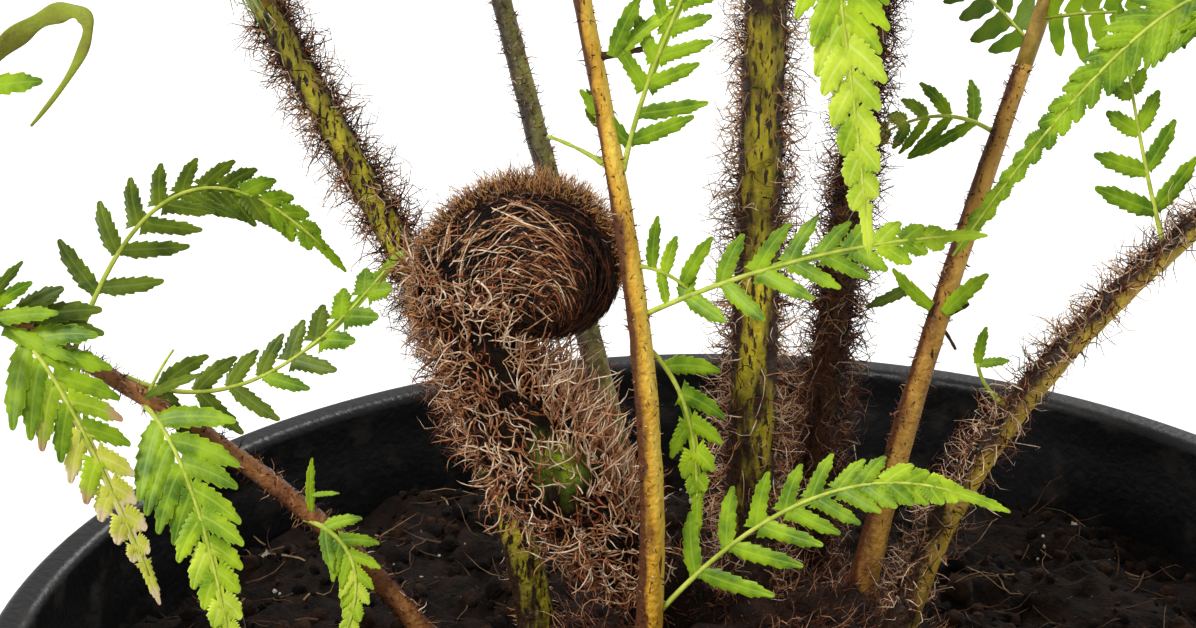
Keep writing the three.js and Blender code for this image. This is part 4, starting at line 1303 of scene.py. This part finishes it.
# %% Where they spring
# A leaflet's row: stalk, length along it, foot and tip from there, width, green.
LEAFLET_ROWS = [
    ("right_back", 56, (0.6, -2.2, 1.2), (6.6, -3.5, 9.6), 3.6, "fresh"),
    ("right_back", 56, (-1.6, -1.5, 2.0), (-9.0, -2.5, 8.5), 3.0, "fresh"),
    ("right_back", 57, (-4.6, 0.5, 4.4), (-12.0, 1.5, -1.0), 2.6, "deep"),
    ("right_leaning", 52, (-6.4, -1.5, 9.0), (-6.1, -2.0, 15.6), 2.4, "fresh"),
    ("right_leaning", 52, (-6.2, -1.5, 8.8), (-1.6, -2.5, 10.4), 2.0, "fresh"),
    ("slim_front", 109, (2.8, -0.8, 0.4), (6.0, -1.5, 10.6), 3.2, "fresh"),
    ("slim_front", 109, (3.2, -0.6, 0.6), (11.2, 0.0, 8.4), 2.8, "bright"),
    ("slim_front", 76, (3.3, -0.3, -0.4), (3.2, -0.6, 8.4), 2.6, "fresh"),
    ("slim_front", 76, (5.2, -0.4, -1.2), (6.3, -0.9, 5.4), 2.6, "bright"),
    ("slim_front", 76, (8.0, -0.5, -2.9), (11.6, -1.0, 5.6), 3.0, "fresh"),
    ("slim_front", 76, (9.2, -0.5, -4.0), (12.4, -1.2, -7.6), 2.6, "bright"),
    ("slim_front", 76, (4.4, -0.4, -0.8), (6.1, -0.9, -6.2), 2.2, "bright"),
    ("slim_front", 98, (-1.2, 0.5, 0.0), (-3.6, 0.5, 2.6), 1.5, "deep"),
    ("slim_front", 102, (-1.2, 0.6, 0.0), (-2.6, 0.6, 1.8), 1.0, "deep"),
    ("left_low", 54, (0.0, -1.4, 1.4), (-0.4, -2.5, 11.6), 1.9, "bright"),
    ("left_low", 54, (0.2, -1.8, 4.6), (4.8, -2.5, 5.8), 1.1, "fresh"),
    ("left_low", 88, (0.0, -1.8, 1.0), (9.2, -3.0, 6.6), 2.0, "deep"),
    ("left_low", 116, (0.0, -1.6, -0.6), (10.8, -3.0, 2.2), 3.3, "fresh"),
    ("left_low", 114, (0.0, -2.0, -1.2), (12.0, -4.0, -4.6), 3.3, "fresh"),
    ("left_low", 116, (0.0, -1.0, 1.2), (6.6, -2.0, 6.6), 3.0, "fresh"),
    ("left_low", 116, (-1.0, -1.0, 1.4), (4.8, -1.0, 9.6), 2.4, "deep"),
    ("left_low", 128, (9.8, -2.6, 30.9), (22.0, -6.0, 34.6), 4.4, "fresh"),
    ("left_low", 112, (0.0, 0.6, 1.4), (6.9, 3.0, 5.7), 4.2, "deep"),
    ("left_low", 111, (0.0, 0.6, 1.4), (11.9, 4.0, 2.6), 4.4, "deep"),
    ("left_low", 110, (0.0, 0.6, 1.0), (11.6, 3.0, -0.6), 4.2, "deep"),
]
# A twig's row: stalk, length along it, pull and tip of its curve, radius at its foot, green or brown.
TWIG_ROWS = [
    ("slim_front", 91, (-4.9, 0.3, 3.8), (-10.4, 0.5, 5.6), 0.46, 0),
    ("slim_front", 109, (3.0, 0.0, 0.4), (7.4, 0.0, 1.3), 0.75, 1),
    ("slim_front", 76, (5.0, -0.5, 0.2), (9.3, -0.5, -4.1), 0.42, 0),
    ("right_back", 56, (2.2, -1.0, 1.0), (4.7, -1.2, 2.7), 0.9, 1),
    ("right_back", 55, (1.5, -1.0, -1.6), (3.2, -1.0, -4.8), 0.45, 1),
    ("right_back", 57, (-2.5, -0.5, 2.2), (-4.8, 0.5, 4.5), 0.4, 0),
    ("right_leaning", 52, (-5.6, -0.5, 4.0), (-6.4, -1.5, 9.0), 0.5, 0),
    ("left_low", 88, (1.6, -1.0, 4.4), (4.8, -1.0, 8.8), 0.35, 0),
]
TWIG_STEPS = 14
# The withered leaf: stalk, length along it, and the three points of its curve from there.
CURL = ["left_low", 128, (0, -2, 43), (49, -6, 59), (20, -8, 27)]
CURL_STEPS, CURL_SIDES = 90, 12

# %% Grow them
twigs = []
for stalk_name, s, pull, tip, radius, _ in TWIG_ROWS:
    here = at(lines[stalk_name], s)["point"]
    u = np.linspace(0, 1, TWIG_STEPS)[:, None]
    line = here + 2 * u * (1 - u) * np.array(pull) + u**2 * np.array(tip)
    side = unit(np.cross(np.gradient(line, axis=0), LOOKS_AT))
    up = unit(np.cross(side, np.gradient(line, axis=0)))
    knots = 1 + 0.12 * waves(line, 1.6, 51)
    twigs.append(skin(line, up, side, mix(radius, radius * 0.55, u[:, 0]) * knots, RIB_SIDES))
picks = np.concatenate([np.full(len(faces), row[-1]) for (_, faces), row in zip(twigs, TWIG_ROWS)])
STUB_BROWN = mottled("scar_brown", "#2a190e", "#5a3c22", scale=600.0, roughness=0.8, relief=(1500.0, 0.0004))
piece("stray_twigs", *together(twigs), [RIB_GREEN, STUB_BROWN], "stalk", picks=picks)

stray = [(at(lines[row[0]], row[1])["point"], np.array(row[2]), np.array(row[3])) for row in LEAFLET_ROWS]
foot = np.array([start + low for start, low, _ in stray])
reach = np.array([high - low for _, low, high in stray])
along = unit(reach)
across = unit(np.cross(along, LOOKS_AT))
size, width = np.linalg.norm(reach, axis=1), np.array([row[4] for row in LEAFLET_ROWS])
sweep = across * (0.1 * size)[:, None]
parts = (foot, along, across, np.cross(across, along), size, width, sweep)
points, faces = stamp(FREE_LEAF, NEAR_FACES, *parts)
greens = ["fresh", "bright", "pale", "deep"]
picks = np.repeat([greens.index(row[5]) for row in LEAFLET_ROWS], len(NEAR_FACES))
uv = np.tile(NEAR_UV, (len(LEAFLET_ROWS), 1))
looks = [NEAR_GREENS[green] for green in greens]
piece("stray_leaflets", points, faces, looks, "leaf", picks=picks, uv=uv)

# %% Curl the withered leaf
here = at(lines[CURL[0]], CURL[1])["point"]
first, second, last = (np.array(point, float) for point in CURL[2:])
u = np.linspace(0, 1, CURL_STEPS)[:, None]
line = here + 3 * u * (1 - u) ** 2 * first + 3 * u**2 * (1 - u) * second + u**3 * last
tangent = unit(np.gradient(line, axis=0))
blade_way = spokes(1.1 + 2.6 * u[:, 0], *across_and_up(tangent))
blade_up = np.cross(tangent, blade_way)
broad = 2.2 * ease(u / 0.35) * np.maximum(0.0, 1 - u) ** 0.75 * (1 + 0.22 * np.sin(46 * u)) + 0.22
curl_look = mottled("leaf_withered", "#8f9a2c", "#7c7a2a", scale=180.0, roughness=0.5, relief=(900.0, 0.0003))
points, faces = skin(line, blade_way * broad, blade_up * 0.2, np.ones(len(line)), CURL_SIDES)
piece("withered_leaf", points, faces, [curl_look], "leaf")
print(f"{len(LEAFLET_ROWS)} stray leaflets, {len(TWIG_ROWS)} twigs, one withered leaf")

# %% [markdown]
# ## The curled bud
# The heart of the picture is a young frond still rolled up like a watch spring. Its skin hardly shows: long
# tan hairs sweep over a near-black coat, a fringe with golden tips stands out along the top, and the stem is
# wrapped in loose pale wool with green skin between. The coil is a logarithmic spiral, radius = 14 *
# 0.357^turn. Between its turns the hair is packed so thick that the side of the coil is one rounded face, so
# a low dome fills it. The near black of the coil's skin and of that dome is partly the bud's own dark scales
# and partly painted shade, the shade deep in the hair. A hair is a path on that surface, worked out from a
# few numbers, so hundreds sweep as the real ones do with no combing by hand.

# %% The coil's coordinates
COIL_CENTRE = np.array([-33, 0, 276.0])
COIL_RADIUS, SHRINK, THICK, TURNS = 14, 0.357, 0.42, 1.6
FRONT = np.array([0, -1.0, 0])
COIL_SIDES, COIL_RINGS, DOME_SIDES, DOME_RINGS = 26, 170, 60, 31


def coil_line(turn):
    """The spiral's centre line at a turn, the way out from its middle there, and its thickness."""
    swing = 2 * np.pi * turn
    out = np.stack([-np.cos(swing), swing * 0, np.sin(swing)], -1)
    radius = COIL_RADIUS * SHRINK**turn
    return COIL_CENTRE + out * radius[..., None], out, radius * THICK


def coil(turn, angle, lift=0.0):
    """A point near the coil's skin: its centre line at a turn, plus (thickness + lift) times
    (cos angle * out + sin angle * front)."""
    centre, out, thick = coil_line(np.asarray(turn))
    return centre + spokes(angle, out, FRONT) * (thick + lift)[..., None]


FACE_CENTRE, FACE_SIZE = np.array([-37, 0, 278.6]), np.array([15.0, 6.4, 12.0])
RING_LINE, _, RING_THICK = coil_line(np.linspace(0, 1.2, 90))


def face_depth(x, z):
    """How far the bud reaches to the front at x and z: the larger of the dome, depth * sqrt(1 - r^4),
    and the coil's round side, sqrt(thickness^2 - distance^2)."""
    r = np.hypot((x - FACE_CENTRE[0]) / FACE_SIZE[0], (z - FACE_CENTRE[2]) / FACE_SIZE[2])
    dome = FACE_SIZE[1] * np.sqrt(np.clip(1 - r**4, 0, 1))
    away = np.hypot(x[..., None] - RING_LINE[:, 0], z[..., None] - RING_LINE[:, 2])
    ring = np.sqrt(np.clip(RING_THICK**2 - away**2, 0, None)).max(-1)
    return np.maximum(dome, ring)


# %% The coil and its rounded face
turn = np.linspace(-0.004, TURNS, COIL_RINGS)
centres, out, thick = coil_line(turn)
thick = thick * 1.04 * np.sqrt(np.clip((TURNS + 0.02 - turn) / 0.06, 0.04, 1))
rough = 1 + 0.05 * waves(centres[:, None] + np.zeros((1, COIL_SIDES, 1)), 4, 31)
# The coil's skin and the dome: near black, partly the bud's own dark scales and partly painted shade deep in
# the hair.
bud_skin_and_shade_look = mottled(
    "bud_skin_and_painted_shade", "#070303", "#1a0e08", scale=500.0, roughness=0.9, relief=(1200.0, 0.0008), shine=0.15
)
spiral = skin(centres, out, np.tile(FRONT, (len(turn), 1)), thick[:, None] * rough, COIL_SIDES)
bend = np.radians(np.linspace(-90, 90, DOME_RINGS))
profile = np.stack([np.cos(bend), np.sign(bend) * np.sqrt(1 - np.cos(bend) ** 4)], -1)
dome, dome_faces = revolve(profile, DOME_SIDES)
dome = dome[:, [0, 2, 1]] * [1, -1, 1] * FACE_SIZE * [0.97, 0.95, 0.97] + FACE_CENTRE
dome = dome + 0.22 * waves(dome, 3.5, 33)[:, None] * unit(dome - FACE_CENTRE)
piece("bud_coil_skin", *together([spiral, (dome, dome_faces)]), [bud_skin_and_shade_look], "bud_hair", ["bud_coil"])
print(f"coil of {TURNS} turns, {2 * COIL_RADIUS * (1 + THICK):.0f} mm across")

# %% Sweep hair over the face
MEET = np.array([-30.6, 267.4])
LOOP_CENTRE, LOOP_SIZE = np.array([-37.6, 278.0]), np.array([13.2, 12.4])
FACE_STEPS = 9
# Each kind's hairs on one face: how many, their nests, where the angles start and how far they run in
# degrees, how far the tips lift, and how far a hair strays.
SWEEPS = [
    ("dark", 850, (0.1, 1.0), (-60, 260), (30, 80), (0, 0.8), 0.04),
    ("brown", 230, (0.15, 0.98), (0, 230), (25, 70), (0, 0.9), 0.06),
    ("brown", 170, (0.3, 0.72), (20, 110), (22, 50), (0, 0.8), 0.04),
    ("tan", 125, (0.35, 1.0), (75, 215), (35, 105), (0.2, 1.3), 0.06),
]


def swept(count, chance, nests, starts, spans, lift, stray, side):
    """Hairs on circles that nest inside one another and all touch at one low point, as the photograph
    shows them: point = meet + nest * (loop(angle) - meet). The angle runs on clockwise, and each hair
    strays from its circle by a wave. They lie on the face, and their tips lift off it by u^2."""
    u = np.linspace(0, 1, FACE_STEPS)[None]
    angle = np.radians(chance.uniform(*starts, (count, 1)) - chance.uniform(*spans, (count, 1)) * u)
    wave = np.sin(chance.uniform(3, 8, (count, 1)) * u + chance.uniform(0, 6.3, (count, 1)))
    nest = chance.uniform(*nests, (count, 1)) + stray * (chance.normal(0, 1.5, (count, 1)) * u + wave)
    nest = np.minimum(nest, 1.02)
    loop = LOOP_CENTRE + LOOP_SIZE * np.stack([np.cos(angle), np.sin(angle)], -1)
    flat = MEET + nest[..., None] * (loop - MEET)
    rise = chance.uniform(0.0, 0.5, (count, 1)) + chance.uniform(*lift, (count, 1)) * u**2
    depth = face_depth(flat[..., 0], flat[..., 1]) + rise
    return np.stack([flat[..., 0], -side * depth, flat[..., 1]], -1)


def looped(count, chance, low, high, side):
    """Loose curls near the lower left of the face: short arcs of chance size and heading."""
    u = np.linspace(0, 1, FACE_STEPS)[None]
    middle = chance.uniform(low, high, (count, 2))
    size = chance.uniform(0.9, 2.6, (count, 1))
    swing = chance.choice([-1, 1], (count, 1)) * chance.uniform(1.5, 4.2, (count, 1))
    angle = chance.uniform(0, 6.3, (count, 1)) + swing * u
    flat_x = middle[:, :1] + size * np.cos(angle) * (1 + 0.5 * u)
    flat_z = middle[:, 1:] + size * np.sin(angle) * (1 - 0.3 * u)
    bow = chance.uniform(0.2, 1.4, (count, 1)) * np.sin(np.pi * u)
    rise = chance.uniform(0.1, 0.6, (count, 1)) + bow
    return np.stack([flat_x, -side * (face_depth(flat_x, flat_z) + rise), flat_z], -1)


chance = dice("bud face")
kinds = {"dark": [], "brown": [], "tan": []}
for side in (1, -1):
    for kind, count, *ranges in SWEEPS:
        kinds[kind].append(swept(count, chance, *ranges, side))
curls = [looped(70, chance, (-50, 269), (-37, 277), side) for side in (1, -1)]
dark, brown = np.concatenate(kinds["dark"]), np.concatenate(kinds["brown"])
strands = np.concatenate(kinds["tan"] + curls)
hairs("bud_face_dark_hair", dark, 0.14, [HAIR_DARK], None, "bud_hair", ["bud_coil"])
thick, is_rust = chance.uniform(0.09, 0.14, len(brown)), chance.random(len(brown)) > 0.62
hairs("bud_face_brown_hair", brown, thick, [HAIR_BROWN, HAIR_RUST], is_rust, "bud_hair", ["bud_coil"])
thick, which = chance.uniform(0.15, 0.24, len(strands)), chance.choice(3, len(strands), p=[0.56, 0.32, 0.12])
looks = [HAIR_TAN, HAIR_PALE, HAIR_RUST]
hairs("bud_face_tan_hair", strands, thick, looks, which, "bud_hair", ["bud_coil"], 0.6)
print(f"{len(dark)} dark, {len(brown)} brown and {len(strands)} tan hairs on the two faces")

# %% Cover the coil's rim and stand the fringe on it
chance = dice("bud rim")
RIM, RIM_STEPS = 2600, 6
start = chance.uniform(0, 0.95, RIM)
girth = 2 * np.pi * COIL_RADIUS * SHRINK**start
u = np.linspace(0, 1, RIM_STEPS)[None]
run = (chance.uniform(3, 9, RIM) / girth)[:, None] * u
angle = chance.normal(0, 0.75, (RIM, 1)) + chance.normal(0, 0.3, (RIM, 1)) * u
height = chance.uniform(-0.1, 0.4, (RIM, 1)) + chance.uniform(0, 1.2, (RIM, 1)) * u**2
paths, is_brown = coil(start[:, None] + run, angle, height), chance.random(RIM) > 0.62
hairs("bud_rim_hair", paths, 0.14, [HAIR_DARK, HAIR_BROWN], is_brown, "bud_hair", ["bud_coil"])

FRINGE, FRINGE_STEPS = 3800, 5
start = chance.uniform(-0.06, 0.5, FRINGE)
angle = np.clip(chance.normal(-0.2, 0.6, FRINGE), -1.9, 0.5)
roots = coil(start, angle, -0.4)
outwards = unit(roots - coil(start, angle, -3.0))
ahead = unit(coil(start + 0.01, angle) - coil(start, angle))
lean = chance.uniform(-0.35, 0.55, (FRINGE, 1))
lie = unit(outwards + ahead * lean + 0.22 * chance.normal(size=roots.shape))
lengths = (1.3 + 2.7 * chance.random(FRINGE) ** 1.6) * mix(0.8, 1.25, ease(start / 0.3))
points, faces = threads(wavy(roots, lie, lengths, 0.1, FRINGE_STEPS, chance), 0.115)
foot_look = chance.choice(2, FRINGE, p=[0.35, 0.65])
tip_look = chance.choice([1, 2, 3], FRINGE, p=[0.2, 0.6, 0.2])
picks = root_to_tip(FRINGE_STEPS, foot_look, tip_look, 0.5)
looks = [HAIR_DARK, HAIR_BROWN, HAIR_GOLD, HAIR_TAN]
piece("bud_fringe", points, faces, looks, "bud_hair", ["bud_coil"], picks)

LONG_HAIRS = 520
start, angle = chance.uniform(-0.1, 0.45, LONG_HAIRS), chance.normal(-0.1, 0.5, LONG_HAIRS)
roots = coil(start, angle, 0.0)
lie = unit(unit(roots - coil(start, angle, -3.0)) + 0.35 * chance.normal(size=roots.shape))
lengths = 2.6 + 5 * chance.random(LONG_HAIRS) ** 2.2
paths = wavy(roots, lie, lengths, 0.14, 7, chance)
looks, which = [HAIR_GREY, HAIR_BROWN, HAIR_TAN], chance.choice(3, LONG_HAIRS, p=[0.3, 0.3, 0.4])
hairs("bud_long_hair", paths, 0.08, looks, which, "bud_hair", ["bud_coil"])
print(f"{RIM} hairs on the rim, {FRINGE} in the fringe")

# %% The bud's stem
STEM_POINTS = np.array([[-3, -5, 210], [-17, -6, 228], [-34, -3, 240], [-47, 0, 275.7]], float)
STEM_RADIUS = (6, COIL_RADIUS * THICK)
SWELLING, SWOLLEN = 3, (0.35, 1)
STEM_SIDES, STEM_RINGS = 28, 100


def stem_line(u):
    """The stem's cubic curve, its heading and its radius: (1-u)^3 a + 3u(1-u)^2 b + 3u^2(1-u) c + u^3 d.
    The radius runs straight from foot to coil and swells between two shares by sin^2."""
    a, b, c, d = STEM_POINTS
    w = np.asarray(u)[..., None]
    point = (1 - w) ** 3 * a + 3 * w * (1 - w) ** 2 * b + 3 * w**2 * (1 - w) * c + w**3 * d
    heading = unit((1 - w) ** 2 * (b - a) + 2 * w * (1 - w) * (c - b) + w**2 * (d - c))
    heading = unit(mix(heading, np.array([0, 0, 1.0]), np.clip(w, 0, 1) ** 4))
    bulge = np.sin(np.pi * np.clip((u - SWOLLEN[0]) / (SWOLLEN[1] - SWOLLEN[0]), 0, 1)) ** 2
    return point, heading, mix(*STEM_RADIUS, u) + SWELLING * bulge


u = np.linspace(0, 1, STEM_RINGS)
line, heading, radius = stem_line(u)
across = unit(np.cross(heading, -FRONT))
bumps = 0.98 + 0.05 * waves(line[:, None] + np.zeros((1, STEM_SIDES, 1)), 6, 41)
points, faces = skin(line, across, np.tile(FRONT, (len(u), 1)), radius[:, None] * bumps, STEM_SIDES)
GREEN_PATCH, PATCH_SIZE = np.array([-29.5, -11.5, 249.0]), 6.5
lit = 1 - np.linalg.norm(points - GREEN_PATCH, axis=-1) / PATCH_SIZE
stem_colours = ("#84911f", "#4c5a18", "#1a1008", "#0f0805")
stem_skin = stalk_finish("bud_stem", stem_colours, edge=0.3, flecks=0.4, roughness=0.85, shine=0.12)
piece("bud_stem_skin", points, faces, [stem_skin], "bud_hair", ["bud_stem"], marks={"lit": lit})
print(f"stem {2 * radius.max():.0f} mm thick at most")

# %% Wrap the stem in wool
UNDERSIDE = unit(np.array([-0.75, -0.25, -0.6]))
TUFT, TUFT_SIZE = np.array([-33.0, -14.0, 266.0]), 6.0


def stem_roots(count, chance, shares):
    """Chance roots on the stem's skin: each one's share of the length, the way out, the heading and how
    far it faces the lower left, from -1 to 1."""
    u, turn = chance.uniform(*shares, count), chance.uniform(0, 2 * np.pi, count)
    line, heading, radius = stem_line(u)
    spoke = spokes(turn, unit(np.cross(heading, -FRONT)), FRONT)
    return u, line + spoke * (radius - 0.25)[:, None], spoke, heading, spoke @ UNDERSIDE


def in_patch(roots, share):
    """True for roots inside a share of the green patch, where the skin shows."""
    return np.linalg.norm(roots - GREEN_PATCH, axis=-1) < PATCH_SIZE * share


def stem_hair(name, keep, roots, lie, lengths, curl, loops, radius, shares, looks, chance, steps=8):
    """One kind of hair of the stem, thinned by a chance for each root."""
    stays = chance.random(len(roots)) < keep
    paths = wavy(roots[stays], unit(lie[stays]), lengths[stays], curl, steps, chance, loops)
    thick, which = chance.uniform(*radius, len(paths)), chance.choice(len(looks), len(paths), p=shares)
    hairs(name, paths, thick, looks, which, "bud_hair", ["bud_stem"], 0.6)
    return len(paths)


chance = dice("stem undercoat")
_, roots, spoke, _, _ = stem_roots(3000, chance, (0.02, 1.04))
lie = spoke * 0.5 + 0.6 * chance.normal(size=roots.shape)
lengths = chance.uniform(1.0, 2.8, len(roots))
keep = np.where(in_patch(roots, 0.5), 0.25, 0.95)
looks, shares = [HAIR_DARK, HAIR_BROWN], [0.72, 0.28]
stem_hair("bud_stem_undercoat", keep, roots, lie, lengths, 0.1, 1.0, (0.09, 0.14), shares, looks, chance, 5)

chance = dice("stem wool")
u, roots, spoke, heading, under = stem_roots(3600, chance, (0.2, 1.05))
lie = spoke * 0.12 + heading * chance.normal(0.1, 0.7, (len(u), 1)) + 0.55 * chance.normal(size=roots.shape)
lie = lie + spoke * np.maximum(0, 0.12 - (lie * spoke).sum(-1, keepdims=True))
lengths = chance.uniform(3.0, 8.0, len(u))
keep = mix(0.14, 0.9, ease((under + 0.1) / 0.5)) * ease((u - 0.2) / 0.2)
keep = keep * np.where(in_patch(roots, 0.6), 0.5, 1)
looks, shares = [HAIR_TAN, HAIR_PALE, HAIR_RUST, HAIR_BROWN], [0.4, 0.26, 0.2, 0.14]
girths = (0.14, 0.25)
wool = stem_hair("bud_stem_wool", keep, roots, lie, lengths, 0.15, 1.2, girths, shares, looks, chance, 9)

chance = dice("stem strands")
_, roots, spoke, heading, under = stem_roots(2500, chance, (0.42, 0.99))
rise = heading * chance.uniform(0.2, 1.1, (len(roots), 1))
lie = spoke * 0.5 + rise + 0.3 * chance.normal(size=roots.shape)
lengths = chance.uniform(4.5, 11, len(roots))
keep = np.where(in_patch(roots, 0.6), 0.3, mix(0.05, 0.9, ease((-0.05 - under) / 0.5)))
looks, shares = [HAIR_PALE, HAIR_TAN, HAIR_RUST], [0.55, 0.33, 0.12]
pale = stem_hair("bud_stem_strands", keep, roots, lie, lengths, 0.1, 1.0, girths, shares, looks, chance)

chance = dice("stem tuft")
_, roots, spoke, heading, _ = stem_roots(2400, chance, (0.7, 1.02))
keep = np.exp(-((np.linalg.norm(roots - TUFT, axis=-1) / TUFT_SIZE) ** 2))
lie = spoke * 0.5 + heading * 0.3 + 0.5 * chance.normal(size=roots.shape)
lengths = chance.uniform(2, 4.5, len(roots))
looks, shares = [HAIR_RUST, HAIR_GOLD], [0.72, 0.28]
stem_hair("bud_stem_tuft", keep, roots, lie, lengths, 0.2, 1.3, (0.12, 0.18), shares, looks, chance)
print(f"{wool} curls of wool and {pale} pale strands on the stem")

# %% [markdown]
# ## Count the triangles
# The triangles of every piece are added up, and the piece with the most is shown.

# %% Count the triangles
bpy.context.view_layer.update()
largest = max(triangles, key=triangles.get)
print(f"{sum(triangles.values())} triangles, the most in {largest}: {triangles[largest]}")
